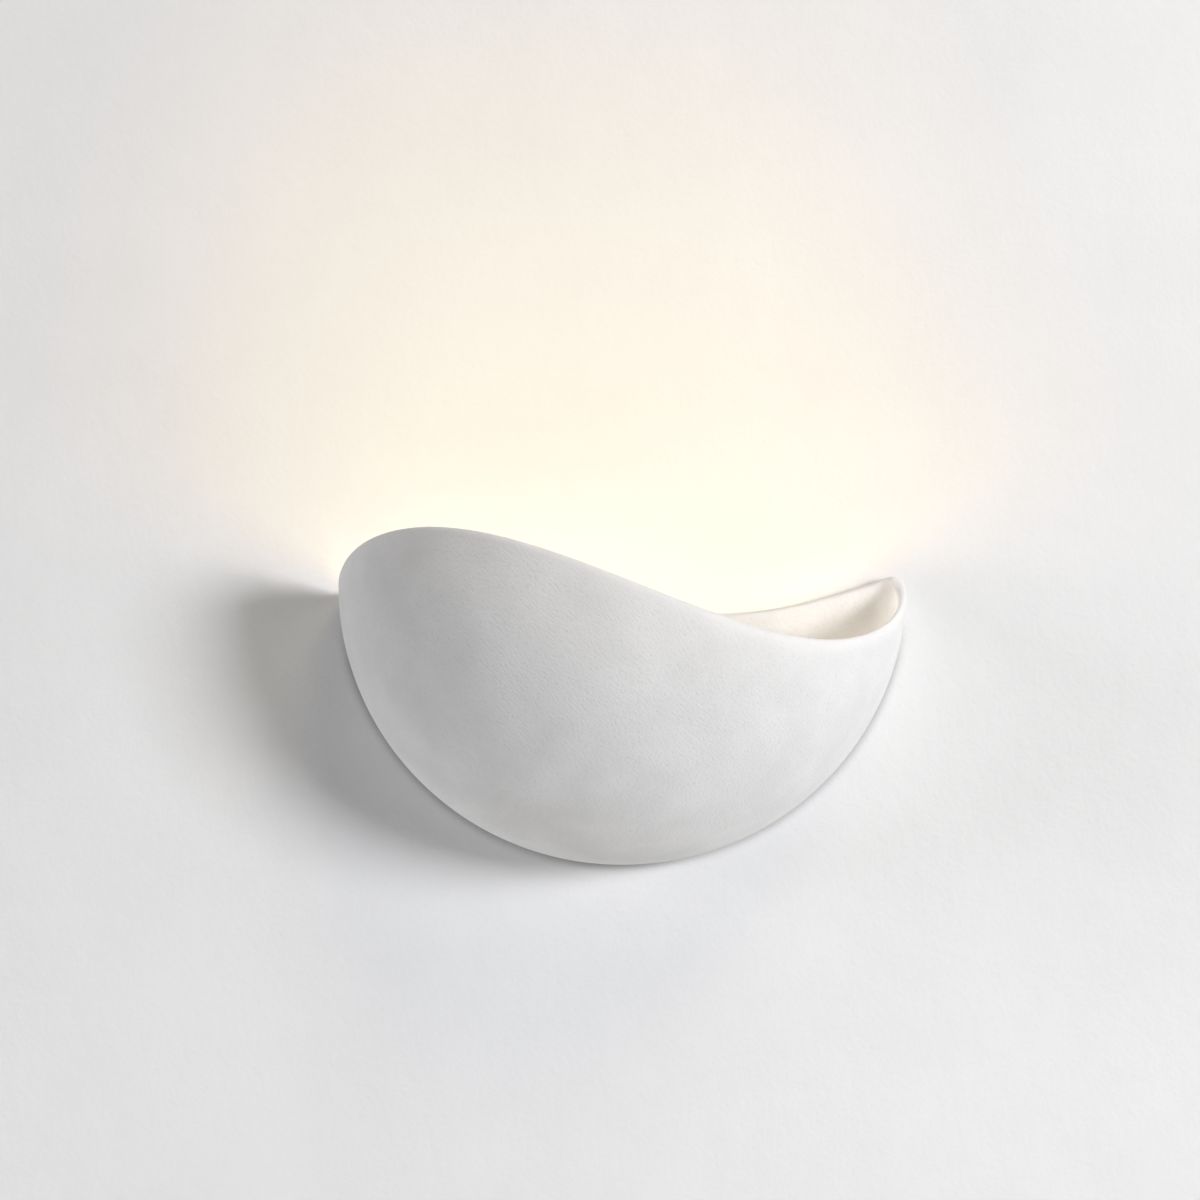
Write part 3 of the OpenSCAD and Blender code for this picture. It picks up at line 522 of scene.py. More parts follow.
class Growth(Nodes):
    """A Geometry Nodes tree with named inputs."""

    def __init__(self, name, inputs):
        super().__init__(bpy.data.node_groups.new(name, "GeometryNodeTree"))
        self.tree.interface.new_socket(name="Geometry", in_out="INPUT", socket_type="NodeSocketGeometry")
        for key, value in inputs.items():
            kind = ("Material" if isinstance(value, bpy.types.Material) else "Int" if isinstance(value, int)
                    else "Vector" if isinstance(value, tuple) else "Float")
            item = self.tree.interface.new_socket(name=key, in_out="INPUT", socket_type="NodeSocket" + kind)
            item.default_value = value
        self.tree.interface.new_socket(name="Geometry", in_out="OUTPUT", socket_type="NodeSocketGeometry")
        self.given = self.add("NodeGroupInput").outputs

    def vector(self, x=0.0, y=0.0, z=0.0):
        return self.add("ShaderNodeCombineXYZ", {0: x, 1: y, 2: z}).outputs[0]

    def rod(self, radius, depth, sides, **settings):
        return self.add("GeometryNodeMeshCylinder", {"Vertices": sides, "Radius": radius, "Depth": depth,
                                                     **settings}).outputs["Mesh"]

    def block(self, x, y, z):
        return self.add("GeometryNodeMeshCube", {"Size": self.vector(x, y, z)}).outputs["Mesh"]

    def moved(self, shape, **change):
        """The shape moved, turned or scaled by what Translation, Rotation or Scale says."""
        return self.add("GeometryNodeTransform", {"Geometry": shape, **change}).outputs[0]

    def lifted(self, shape, z):
        return self.moved(shape, Translation=self.vector(z=z))

    def gathered(self, node, socket, parts):
        """Links all the parts to one socket of the node and gives its first output."""
        for part in parts:
            self.tree.links.new(part, node.inputs[socket])
        return node.outputs[0]

    def joined(self, *parts):
        return self.gathered(self.add("GeometryNodeJoinGeometry"), 0, parts)

    def common(self, *parts):
        return self.gathered(self.add("GeometryNodeMeshBoolean", operation="INTERSECT", solver="EXACT"),
                             "Mesh 2", parts)

    def less(self, shape, *cutters):
        return self.gathered(self.add("GeometryNodeMeshBoolean", {"Mesh 1": shape}, operation="DIFFERENCE",
                                      solver="EXACT"), "Mesh 2", cutters)

    def spread(self, points, shape, **change):
        """A real copy of the shape on each point."""
        placed = self.add("GeometryNodeInstanceOnPoints", {"Points": points, "Instance": shape, **change})
        return self.add("GeometryNodeRealizeInstances", {0: placed}).outputs[0]

    def tube(self, path, thickness, sides):
        """A round tube along a curve."""
        outline = self.add("GeometryNodeCurvePrimitiveCircle", {
            "Resolution": sides, "Radius": self.over(thickness, 2.0)}).outputs["Curve"]
        return self.add("GeometryNodeCurveToMesh", {"Curve": path, "Profile Curve": outline,
                                                    "Fill Caps": True}).outputs[0]

    def finished(self, shape, finish):
        return self.add("GeometryNodeSetMaterial", {"Geometry": shape, "Material": finish}).outputs[0]

    def end(self, geometry):
        self.add("NodeGroupOutput", {0: geometry})
        return self.tree


def grown(tree, name, values=(), base=None):
    """The plain mesh that a tree makes from a base mesh with these values for its inputs."""
    source = bpy.data.objects.new(name, base or bpy.data.meshes.new(name))
    scene.collection.objects.link(source)
    modifier = source.modifiers.new("make", "NODES")
    modifier.node_group = tree
    wanted = dict(values)
    for item in tree.interface.items_tree:
        if item.in_out == "INPUT" and item.name in wanted:
            modifier[item.identifier] = wanted[item.name]
    mesh = baked(source)
    mesh.name = name
    return mesh


def thread_tree():
    """A threaded rod from z = -Length to 0, with its crests at the full diameter."""
    g = Growth("threaded_rod", {"Diameter": 0.004, "Length": 0.01, "Pitch": 0.0007})
    length, pitch = g.given["Length"], g.given["Pitch"]
    rings = g.math("MAXIMUM", g.math("ROUND", g.times(6.0, g.over(length, pitch))), 4.0)
    radius = g.over(g.given["Diameter"], 2.0)
    rod = g.rod(radius, length, 28, **{"Side Segments": rings})
    x, y, z = g.add("ShaderNodeSeparateXYZ", {0: g.add("GeometryNodeInputPosition")}).outputs
    turn = g.over(g.math("ARCTAN2", y, x), math.tau)
    phase = g.math("FRACT", g.math("SUBTRACT", g.over(z, pitch), turn))
    groove = g.math("ABSOLUTE", g.math("SUBTRACT", g.times(phase, 2.0), 1.0))
    share = g.times(groove, g.over(g.times(pitch, -0.5), radius))
    cut = g.add("GeometryNodeSetPosition", {"Geometry": rod, "Offset": g.vector(g.times(x, share),
                                                                                g.times(y, share))})
    return g.end(g.lifted(cut, g.over(length, -2.0)))


def screw_tree(thread):
    """Pan-head screws with a cross recess, one on each point, facing along the attribute 'way'."""
    g = Growth("pan_head_screws", {
        "Thread": 0.004, "Length": 0.01, "Pitch": 0.0007, "Head width": 0.008, "Head height": 0.0024,
        "Seed": 3, "Finish": steel})
    width, height, thick = g.given["Head width"], g.given["Head height"], g.given["Thread"]
    rod = g.add("GeometryNodeGroup", {}, node_tree=thread)
    for key, value in (("Diameter", "Thread"), ("Length", "Length"), ("Pitch", "Pitch")):
        g.tree.links.new(g.given[value], rod.inputs[key])
    blank = g.lifted(g.rod(g.over(width, 2.0), height, 40), g.over(height, 2.0))
    round_r = g.times(width, 0.75)
    ball = g.add("GeometryNodeMeshUVSphere", {"Segments": 40, "Rings": 40, "Radius": round_r}).outputs["Mesh"]
    head = g.common(blank, g.lifted(ball, g.math("SUBTRACT", height, round_r)))
    bar = g.block(g.times(width, 0.55), g.times(thick, 0.2), height)
    lift = g.vector(z=g.times(height, 0.95))
    cross = [g.moved(bar, Translation=lift, Rotation=(0, 0, quarter)) for quarter in (0, math.pi / 2)]
    whole = g.joined(rod.outputs[0], g.less(head, *cross))
    way = g.add("GeometryNodeInputNamedAttribute", {"Name": "way"}, data_type="FLOAT_VECTOR").outputs[0]
    stand = g.add("FunctionNodeAlignRotationToVector", {"Vector": way}, axis="Z")
    spin = g.add("FunctionNodeRandomValue", {2: 0.0, 3: math.tau, 8: g.given["Seed"]}, data_type="FLOAT")
    spun = g.add("FunctionNodeAxisAngleToRotation", {"Axis": (0, 0, 1), "Angle": spin.outputs[1]})
    turned = g.add("FunctionNodeRotateRotation", {"Rotation": stand, "Rotate By": spun}, rotation_space="LOCAL")
    return g.end(g.finished(g.spread(g.given["Geometry"], whole, Rotation=turned), g.given["Finish"]))


def wire_tree():
    """A round wire along a path of points."""
    g = Growth("insulated_wire", {"Diameter": 0.0018, "Step": 0.0005, "Finish": steel})
    path = g.add("GeometryNodeMeshToCurve", {0: g.given["Geometry"]})
    path = g.add("GeometryNodeCurveSplineType", {0: path}, spline_type="CATMULL_ROM")
    path = g.add("GeometryNodeResampleCurve", {"Curve": path, "Length": g.given["Step"]}, mode="LENGTH")
    return g.end(g.finished(g.tube(path, g.given["Diameter"], 16), g.given["Finish"]))


def chip_tree():
    """Rows of light chips: a white frame with two tin feet and a domed window of phosphor."""
    g = Growth("light_chips", {
        "Columns": 7, "Rows": 3, "Pitch": 0.008, "Width": 0.0035, "Height": 0.0008, "Centre": (0.0, 0.0, 0.0),
        "Frame": steel, "Window": steel, "Feet": steel})
    width, height = g.given["Width"], g.given["Height"]

    def placed(shape, x, z, finish):
        return g.finished(g.moved(shape, Translation=g.vector(x, 0.0, z)), g.given[finish])

    half = g.over(height, 2.0)
    body = placed(g.block(g.times(width, 0.92), width, height), 0.0, half, "Frame")
    well = placed(g.rod(g.times(width, 0.38), half, 28), 0.0, g.times(height, 1.05), "Frame")
    dome = g.add("GeometryNodeMeshUVSphere", {"Segments": 24, "Rings": 12,
                                              "Radius": g.times(width, 0.375)}).outputs["Mesh"]
    window = placed(g.moved(dome, Scale=(1, 1, 0.13)), 0.0, g.times(height, 0.78), "Window")
    foot = g.block(g.times(width, 0.14), g.times(width, 0.72), g.times(height, 0.3))
    low = g.times(height, 0.15)
    feet = [placed(foot, g.times(width, side * 0.43), low, "Feet") for side in (-1, 1)]
    chip = g.joined(g.less(body, well), window, *feet)

    sizes = {}
    for count, axis in (("Columns", "X"), ("Rows", "Y")):
        sizes["Vertices " + axis] = g.given[count]
        sizes["Size " + axis] = g.times(g.math("SUBTRACT", g.given[count], 1.0), g.given["Pitch"])
    grid = g.add("GeometryNodeMeshGrid", sizes).outputs["Mesh"]
    return g.end(g.spread(g.moved(grid, Translation=g.given["Centre"]), chip))


def winding_tree():
    """A coil of wire standing on Centre."""
    g = Growth("winding", {"Turns": 12.0, "Radius": 0.006, "Height": 0.006, "Wire": 0.0005,
                           "Centre": (0.0, 0.0, 0.0), "Finish": steel})
    coil = g.add("GeometryNodeCurveSpiral", {
        "Resolution": 36, "Rotations": g.given["Turns"], "Start Radius": g.given["Radius"],
        "End Radius": g.given["Radius"], "Height": g.given["Height"]})
    wound = g.moved(g.tube(coil, g.given["Wire"], 8), Translation=g.given["Centre"])
    return g.end(g.finished(wound, g.given["Finish"]))


def grip_tree():
    """Cuts a row of grooves, square to X, into what it is given."""
    g = Growth("thumb_grooves", {"Count": 4, "Spacing": 0.0012, "Radius": 0.0004, "Length": 0.02,
                                 "First": (0.0, 0.0, 0.0), "Finish": steel})
    rod = g.moved(g.rod(g.given["Radius"], g.given["Length"], 16), Rotation=(0, math.pi / 2, 0))
    row = g.add("GeometryNodeMeshLine", {"Count": g.given["Count"], "Start Location": g.given["First"],
                                         "Offset": g.vector(z=g.given["Spacing"])}, mode="OFFSET")
    return g.end(g.finished(g.less(g.given["Geometry"], g.spread(row, rod)), g.given["Finish"]))


# ---- The bowl: the part's own surface, drawn with finer steps ----

HALF_W, OUT, DROP, RISE = 150.0, 145.0, 148.0, 72.0
WALL, BACK_WALL, BACK_Y, INNER_BACK_Y = 7.0, 8.0, -1.0, -9.0
OUTER_R, INNER_R = 1.5, 10.0
BACK_REACH = HALF_W - WALL - INNER_R
TIP_LEFT, TIP_RIGHT, WAVE, SHOULDER, ROLL = -3.0, 4.5, 29.3, 1.2, 1.2
BACK_DIP, BACK_LEVEL = 15.2, 50.0
WINDOW_W, WINDOW_LOW, WINDOW_HIGH, WINDOW_R, WINDOW_EASE = 127.0, -40.0, 26.9, 6.0, 0.9
BACK_LIP_R = 2.0
BACK, LEFT, FRONT, RIGHT = range(4)
FRONT_STEPS, BACK_STEPS, CORNER_STEPS = 216, 72, 15
OUTER_RINGS, LIP_STEPS, INNER_RINGS = 60, 14, 46
TIP_ANGLE = math.degrees(math.asin((BACK_WALL + INNER_R - OUTER_R) / (OUT + BACK_Y - OUTER_R)))


def sin(a):
    return math.sin(math.radians(a))


def cos(a):
    return math.cos(math.radians(a))


def outline_point(place, w, d, y, r, b):
    """A point of an outline seen from above, of half-width w and depth d, with corners of radius r."""
    part, q = place
    if part == BACK:
        return q * b, y
    if part == FRONT:
        return -w * cos(q), y - r - (d - r) * sin(q)
    early = b < w - r
    a, x = (90 * max(0.0, 2 * q - 1), min(1.0, 2 * q)) if early else (90 * q, 1.0)
    return (-1 if part == LEFT else 1) * (b + (w - r - b) * x + r * sin(a)), y - r * (1 - cos(a))


def lip_height(place):
    """Height of the lip above the widest line, at a place of the outer wall."""
    part, q = place
    if part == FRONT:
        return (TIP_LEFT * (1 + cos(q)) / 2 + TIP_RIGHT * (1 - cos(q)) / 2 + WAVE * sin(2 * q)
                - SHOULDER * sin(3 * q) - ROLL * sin(4 * q))
    x = outline_point(place, HALF_W, OUT, 0, OUTER_R, BACK_REACH)[0]
    u = max(0.0, (abs(x) - BACK_LEVEL) / (HALF_W - BACK_LEVEL))
    return -BACK_DIP + (BACK_DIP + (TIP_LEFT if x < 0 else TIP_RIGHT)) * u * u * (4 - u ** 4) / 3


def skin(place, f, z, w, d, drop, y, r):
    """A point of a bowl surface, fraction f of the way from its lowest point to height z."""
    tilt = f * math.acos(-z / drop)
    k = math.sin(tilt)
    rounding = min(r, w * k / 4, d * k / 4)
    x, y = outline_point(place, w * k, d * k, y, rounding, min(BACK_REACH * k, w * k - rounding))
    return Vector((x, y, RISE - drop * math.cos(tilt)))


def outer_skin(place, f, z):
    return skin(place, f, z, HALF_W, OUT + BACK_Y, DROP, BACK_Y, OUTER_R)


def inner_skin(place, f, z):
    return skin(place, f, z, HALF_W - WALL, OUT - WALL + INNER_BACK_Y, DROP - WALL, INNER_BACK_Y, INNER_R)


def bowl_stations():
    """Pairs of (place on the outer wall, place on the inner wall), once round the bowl."""
    def corner_station(part, q):
        ahead = TIP_ANGLE * (3 * q - 2)
        outer = (part, 1.5 * q) if 3 * q < 2 else (FRONT, ahead if part == LEFT else 180 - ahead)
        return outer, (part, q)

    rows = [((BACK, cos(180 * i / BACK_STEPS)),) * 2 for i in range(BACK_STEPS + 1)]
    rows += [corner_station(LEFT, i / CORNER_STEPS) for i in range(1, CORNER_STEPS)]
    rows += [((FRONT, TIP_ANGLE + (180 - 2 * TIP_ANGLE) * i / FRONT_STEPS), (FRONT, 180 * i / FRONT_STEPS))
             for i in range(FRONT_STEPS + 1)]
    return rows + [corner_station(RIGHT, i / CORNER_STEPS) for i in range(CORNER_STEPS - 1, 0, -1)]


def bowl_slice(outer, inner):
    """A slice through the wall: up the outside, over the rounded lip and down the inside."""
    front_share = {BACK: 0.0, FRONT: 1.0}.get(inner[0], inner[1])
    r = BACK_LIP_R + (WALL / 2 - BACK_LIP_R) * front_share
    z = lip_height(outer) - r
    out, inn = outer_skin(outer, 1, z), inner_skin(inner, 1, z)
    points = [outer_skin(outer, j / OUTER_RINGS, z) for j in range(1, OUTER_RINGS + 1)]
    for k in range(1, LIP_STEPS):
        a = math.pi * k / LIP_STEPS
        points.append((out + inn) / 2 + (out - inn) / 2 * math.cos(a) + Vector((0, 0, r * math.sin(a))))
    return points + [inner_skin(inner, j / INNER_RINGS, z) for j in range(INNER_RINGS, 0, -1)]


def cast_bowl(material):
    """The casting, with the shares "lip" and "inner" kept on its points."""
    rows = [bowl_slice(outer, inner) for outer, inner in bowl_stations()]
    per, count = len(rows[0]), len(rows)
    vertices = [Vector((0, BACK_Y, RISE - DROP))] + [p for row in rows for p in row]
    vertices.append(Vector((0, INNER_BACK_Y, RISE - DROP + WALL)))
    last = len(vertices) - 1

    def at(s, k):
        return 1 + s % count * per + k

    faces = [(0, at(s + 1, 0), at(s, 0)) for s in range(count)]
    faces += [(at(s, k), at(s + 1, k), at(s + 1, k + 1), at(s, k + 1))
              for s in range(count) for k in range(per - 1)]
    faces += [(at(s, per - 1), at(s + 1, per - 1), last) for s in range(count)]
    mesh = mesh_of("cast_bowl", [v * MM for v in vertices], faces, material)
    lip, inner = (mesh.attributes.new(name, "FLOAT", "POINT").data for name in ("lip", "inner"))
    lip_end = OUTER_RINGS + LIP_STEPS - 2
    for s in range(count):
        for k in range(per):
            off = max(OUTER_RINGS - 1 - k, k - lip_end, 0)
            lip[at(s, k)].value = max(0.0, 1 - off / 2)
            inner[at(s, k)].value = float(k > lip_end - 2)
    inner[last].value = 1.0
    return mesh


def window_plug(material):
    """The block that cuts the window, flared at both faces of the back wall to ease the window's edges."""
    past, sides = 6.0, 9
    arc = [(WINDOW_EASE * (1 - cos(a)), WINDOW_EASE * (1 - sin(a))) for a in range(0, 91, 18)]
    steps = [(past, WINDOW_EASE + past)]
    steps += [(BACK_Y - t, grow) for t, grow in arc]
    steps += [(INNER_BACK_Y + t, grow) for t, grow in reversed(arc)]
    steps += [(INNER_BACK_Y - past, WINDOW_EASE + past)]
    vertices, faces, n = [], [], 4 * sides
    for y, grow in steps:
        for corner, (sx, high) in enumerate(((1, True), (-1, True), (-1, False), (1, False))):
            cx = sx * (WINDOW_W / 2 - WINDOW_R)
            cz = WINDOW_HIGH - WINDOW_R if high else WINDOW_LOW + WINDOW_R
            for i in range(sides):
                a, r = 90 * (corner + i / (sides - 1)), WINDOW_R + grow
                vertices.append(Vector((cx + r * cos(a), y, cz + r * sin(a))) * MM)
    for s in range(len(steps) - 1):
        faces += [(s * n + i, (s + 1) * n + i, (s + 1) * n + (i + 1) % n, s * n + (i + 1) % n) for i in range(n)]
    faces += [tuple(range(n)), tuple(reversed(range((len(steps) - 1) * n, len(steps) * n)))]
    return reshaped(mesh_of("window_plug", vertices, faces, material),
                    lambda form: bmesh.ops.recalc_face_normals(form, faces=form.faces))


def bowl_with_window(material):
    plug, source = (bpy.data.objects.new(name, shape(material))
                    for name, shape in (("window_plug", window_plug), ("casting", cast_bowl)))
    for made in (plug, source):
        scene.collection.objects.link(made)
    cut = source.modifiers.new("window", "BOOLEAN")
    cut.object = plug
    cut.operation = "DIFFERENCE"
    cut.solver = "EXACT"
    mesh = baked(source)
    bpy.data.objects.remove(plug)
    return mesh


# ---- The finishes in use ----

plaster = cast_plaster()
zinc = zinc_sheet()
white_sheet = powder_coat()
steel = screw_steel()
tinned = brass()
grey_felt = felt()
black_rubber = rubber()
heat_silicone = silicone()
lit_opal = opal()
light_board = circuit("white_board", (0.84, 0.84, 0.82), (0.78, 0.77, 0.73), 0.008, 0.2)
green_board = circuit("green_board", (0.02, 0.13, 0.06), (0.05, 0.22, 0.09), 0.0032, 0.22)
frame_white = moulded("chip_frame", (0.80, 0.80, 0.78), (0.84, 0.84, 0.82), 0.4)
phosphor = moulded("phosphor", (0.86, 0.66, 0.20), (0.90, 0.72, 0.26), 0.5, emission_color=(1.0, 0.78, 0.42, 1),
                   emission_strength=0.5)
ivory = moulded("ivory_nylon", (0.80, 0.78, 0.70), (0.84, 0.82, 0.75), 0.35)
case_white = moulded("case_white", (0.76, 0.76, 0.74), (0.80, 0.80, 0.78), 0.5, 0.00005)
block_grey = moulded("block_grey", (0.30, 0.31, 0.32), (0.34, 0.35, 0.36), 0.38)
orange = moulded("lever_orange", (0.80, 0.20, 0.012), (0.86, 0.24, 0.02), 0.3)
sleeve_black = moulded("capacitor_sleeve", (0.012, 0.014, 0.02), (0.02, 0.022, 0.03), 0.25)
ferrite = moulded("ferrite", (0.05, 0.05, 0.052), (0.075, 0.075, 0.078), 0.6, 0.00008)
enamelled = moulded("enamelled_copper", (0.62, 0.26, 0.08), (0.72, 0.34, 0.12), 0.22)
insulation = {colour: moulded("insulation_" + colour, *tones, 0.32, 0.00001) for colour, tones in {
    "brown": ((0.050, 0.020, 0.008), (0.065, 0.028, 0.012)),
    "blue": ((0.010, 0.045, 0.30), (0.016, 0.060, 0.36)),
    "green": ((0.16, 0.31, 0.012), (0.20, 0.37, 0.02)),
    "red": ((0.33, 0.010, 0.008), (0.40, 0.018, 0.012)),
    "black": ((0.010, 0.010, 0.010), (0.018, 0.018, 0.018))}.items()}


# ---- Bowl, clips and pads ----

piece("bowl", bowl_with_window(plaster), "bowl", ["bowl_shell"], 40)

CLIP_FOLD_Z = 26.0
clips = eased("hanger_clips", zinc, 0.12, [(0.8, lambda a, b: across(a, b) and a.z < CLIP_FOLD_Z + 0.01)])
piece("window_clips", clips, "bowl", ["hanger_clips"])

pad_profile = [(0, 0), (6.6, 0), (6.9, 0.15), (7, 0.4), (6.95, 0.7), (6.7, 0.92), (6.2, 1.0), (3, 0.98), (0, 1.0)]
pad_places = [facing(side * x, 0, z, "room") for x, z in ((108, 37), (48, -52)) for side in (-1, 1)]
piece("felt_pads", lathe("felt_pads", pad_profile, pad_places, grey_felt), "bowl", ["back_pads"])


# ---- Wall plate, tray and what is on them ----

def hook_fold(a, b):
    """The edges along the outside of the folds that turn the hooks up."""
    return across(a, b) and a.y < -12 and a.z < 23.5


TRAY_UNDER, TRAY_FRONT, TRAY_SIDE = 16.0, -80.0, 60.0


def tray_fold(a, b):
    """The tray's lower edges along its front and its sides, where its lips are folded up."""
    low = all(abs(end.z - TRAY_UNDER) < 0.01 for end in (a, b))
    at_front = across(a, b) and a.y < TRAY_FRONT + 0.1
    return low and (at_front or all(abs(end.x) > TRAY_SIDE - 0.2 for end in (a, b)))


fixed("plate", "wall_plate", zinc, folds=[(1.6, hook_fold)])
fixed("hook_linings", "hook_sleeves", black_rubber, 0.3)

grommet = [(4.5, 0.1), (6.45, 0), (6.45, 2.1), (8.7, 2.1), (9.0, 2.5), (9.0, 3.4), (8.5, 3.9), (7.5, 3.9),
           (6.4, 3.6), (5.2, 3.75), (4.75, 3.6), (4.5, 3.2)]
piece("cable_grommet_ring", lathe("cable_grommet", grommet, [facing(20, 0, -12, "room")], black_rubber, True, 64),
      "wall_unit", ["cable_grommet"])

fixed("tray", "light_tray", white_sheet, folds=[(1.4, tray_fold)])

ring = [(3.5, -0.7), (4.0, -1.0), (5.4, -1.0), (5.7, -0.75), (5.7, -0.2), (5.5, 0), (4.45, 0), (4.45, 2.0),
        (5.5, 2.0), (5.7, 2.2), (5.7, 2.75), (5.4, 3.0), (4.0, 3.0), (3.5, 2.7)]
piece("wire_grommet_ring", lathe("wire_grommet", ring, [facing(42.2, -32, 16)], black_rubber, True, 56),
      "wall_unit", ["wire_grommet"])


# ---- Screws ----

thread = thread_tree()
screws = screw_tree(thread)


def screw_set(name, node, seats, way, thread_d, length):
    """Screws of one size, with their seats in millimetres."""
    points = bpy.data.meshes.new(name)
    points.from_pydata([Vector(s) * MM for s in seats], [], [])
    ways = points.attributes.new("way", "FLOAT_VECTOR", "POINT")
    for spot in ways.data:
        spot.vector = way
    pitch, head_share = {3: (0.5, 1.85), 4: (0.7, 2.0)}[thread_d]
    head = thread_d * head_share
    made = grown(screws, name, {
        "Thread": thread_d * MM, "Length": length * MM, "Pitch": pitch * MM, "Head width": head * MM,
        "Head height": thread_d * 0.6 * MM, "Seed": len(name), "Finish": steel}, points)
    piece(name, made, "wall_unit", [node], 30)


FORWARD, UP, DOWN = (0, -1, 0), (0, 0, 1), (0, 0, -1)
for name, node, seats, way, thread_d, length in (
        ("tray_fixing_screws", "tray_screws", [(-26, -4, 10), (26, -4, 10)], FORWARD, 4, 4),
        ("board_fixing_screws", "board_screws", [(s * 31.5, LIGHT_Y, BOARD_TOP) for s in (-1, 1)], UP, 3, 4.1),
        ("cover_fixing_screws", "cover_screws", [(s * 53.9, LIGHT_Y, 20) for s in (-1, 1)], UP, 3, 4),
        ("driver_fixing_screws", "driver_screws", [(-45.5, -44, 12.8), (35.5, -44, 12.8)], DOWN, 3, 5.2),
        ("block_fixing_screws", "terminal_screws", [(-39.3, -5, -11.5), (-0.7, -5, -11.5)], FORWARD, 3, 5)):
    screw_set(name, node, seats, way, thread_d, length)


# ---- Light ----

fixed("heat_sheet", "heat_pad", heat_silicone, 0.08)
fixed("light_board", "led_board", light_board, 0.12)
piece("light_chips", grown(chip_tree(), "light_chips", {
    "Columns": 7, "Rows": 3, "Pitch": CHIP_PITCH * MM, "Width": 3.5 * MM, "Height": 0.8 * MM,
    "Centre": (0.0, LIGHT_Y * MM, BOARD_TOP * MM), "Frame": frame_white, "Window": phosphor, "Feet": steel}),
    "wall_unit", ["led_chips"])
fixed("board_connector", "led_connector", ivory, 0.2)
fixed("opal_cover", "frosted_cover", lit_opal, 0.8, steps=4)


# ---- Driver ----

fixed("driver_box", "driver_case", case_white, 0.35, steps=3)
fixed("driver_cover", "driver_lid", case_white, 0.3)
fixed("driver_circuit", "driver_board", green_board, 0.1)

fixed("transformer_bobbin", "driver_transformer", ferrite, 0.35)
coil = grown(winding_tree(), "winding", {
    "Turns": 11.0, "Radius": 6.7 * MM, "Height": 5.8 * MM, "Wire": 0.5 * MM,
    "Centre": (-1 * MM, -44 * MM, 4.05 * MM), "Finish": enamelled})
piece("transformer_winding", coil, "wall_unit", ["driver_transformer"])

for number, (x, y, d, h) in enumerate([(-27, -50, 10, 10.5), (-27, -37, 8, 10), (17, -50, 8, 10)], 1):
    r = d / 2
    can = [(0, 0), (r - 0.5, 0), (r, 0.5), (r, 1.2), (r - 0.35, 1.6), (r - 0.35, 1.9), (r, 2.3), (r, h - 0.9),
           (r - 0.25, h - 0.25), (r - 0.9, h), (r - 1.3, h - 0.12), (0, h - 0.12)]
    piece(f"capacitor_{number}", lathe("capacitor", can, [facing(x, y, 1.7)], sleeve_black), "wall_unit",
          ["driver_capacitors"])


# ---- Terminal block and levers ----

fixed("block_housing", "terminal_block", block_grey, 0.2)
fixed("block_clamps", "terminal_clamps", tinned, 0.15)

grooves = grip_tree()
for x, pole in ((-30, "live"), (-20, "neutral"), (-10, "earth")):
    lever = grown(grooves, pole + "_lever_grooved", {
        "Count": 4, "Spacing": 1.2 * MM, "Radius": 0.4 * MM, "Length": 12 * MM,
        "First": (x * MM, -19.55 * MM, -9.3 * MM), "Finish": orange}, eased(pole + "_lever", orange, 0.3))
    piece(pole + "_lever_arm", lever, "lever_" + pole, [pole + "_lever"])


# ---- Earth connection ----

stud = grown(thread, "stud_thread", {"Diameter": 4 * MM, "Length": 11 * MM, "Pitch": 0.7 * MM})
stud.transform(facing(44, -11, -15, "room"))
stud.materials.append(steel)
piece("earth_stud_thread", stud, "wall_unit", ["earth_stud"], 30)
fixed("earth_ring_tag", "earth_tag", tinned, 0.15)
fixed("earth_plain_washer", "earth_washer", steel, 0.12)
fixed("earth_hex_nut", "earth_nut", steel, 0.3)


# ---- Wires, along the part's own points ----

wires = wire_tree()


def wire(name, node, points, colour):
    path = bpy.data.meshes.new(name)
    path.from_pydata([Vector(p) * MM for p in points], [(i, i + 1) for i in range(len(points) - 1)], [])
    made = grown(wires, name, {"Diameter": 1.8 * MM, "Step": 0.5 * MM, "Finish": insulation[colour]}, path)
    piece(name, made, "wall_unit", [node], 50)


def clamped_end(x):
    return [(x, -11, -8), (x, -11, -5), (x, -11, -2), (x, -11, -0.5)]


def mains_wire(name, node, x, first, z, colour):
    wire(name, node, clamped_end(x) + first + [
        (-47, -20, z), (-50, -30, z), (-49, -38, z), (-45, -41, z), (-40.7, -41, z)], colour)


def light_wire(name, node, y, colour):
    wire(name, node, [(30.7, y, 8), (35, y, 8), (40.2, y, 10.5), (42.2, y, 16), (41.9, y, 19.5), (39.2, y, 22.1),
                      (32.8, y, 22.1)], colour)


mains_wire("live_lead", "live_wire", -30, [(-33, -12, 5), (-39, -15, 8)], 9, "brown")
mains_wire("neutral_lead", "neutral_wire", -20, [(-24, -13, 1.5), (-34, -15.5, 2.5)], 3, "blue")
wire("earth_lead", "earth_wire", clamped_end(-10) + [
    (-5, -12.5, 2), (14, -11, 2), (32, -9, 2), (42, -5, 1), (44, -3.7, -2.5), (44, -3.7, -7.7)], "green")
light_wire("light_plus_lead", "led_plus_wire", -33.5, "red")
light_wire("light_minus_lead", "led_minus_wire", -30.5, "black")


# ---- Room ----

def sheet(name, corners, material):
    made = bpy.data.objects.new(name, mesh_of(name, corners, [(0, 1, 2, 3)], material))
    scene.collection.objects.link(made)
    return made


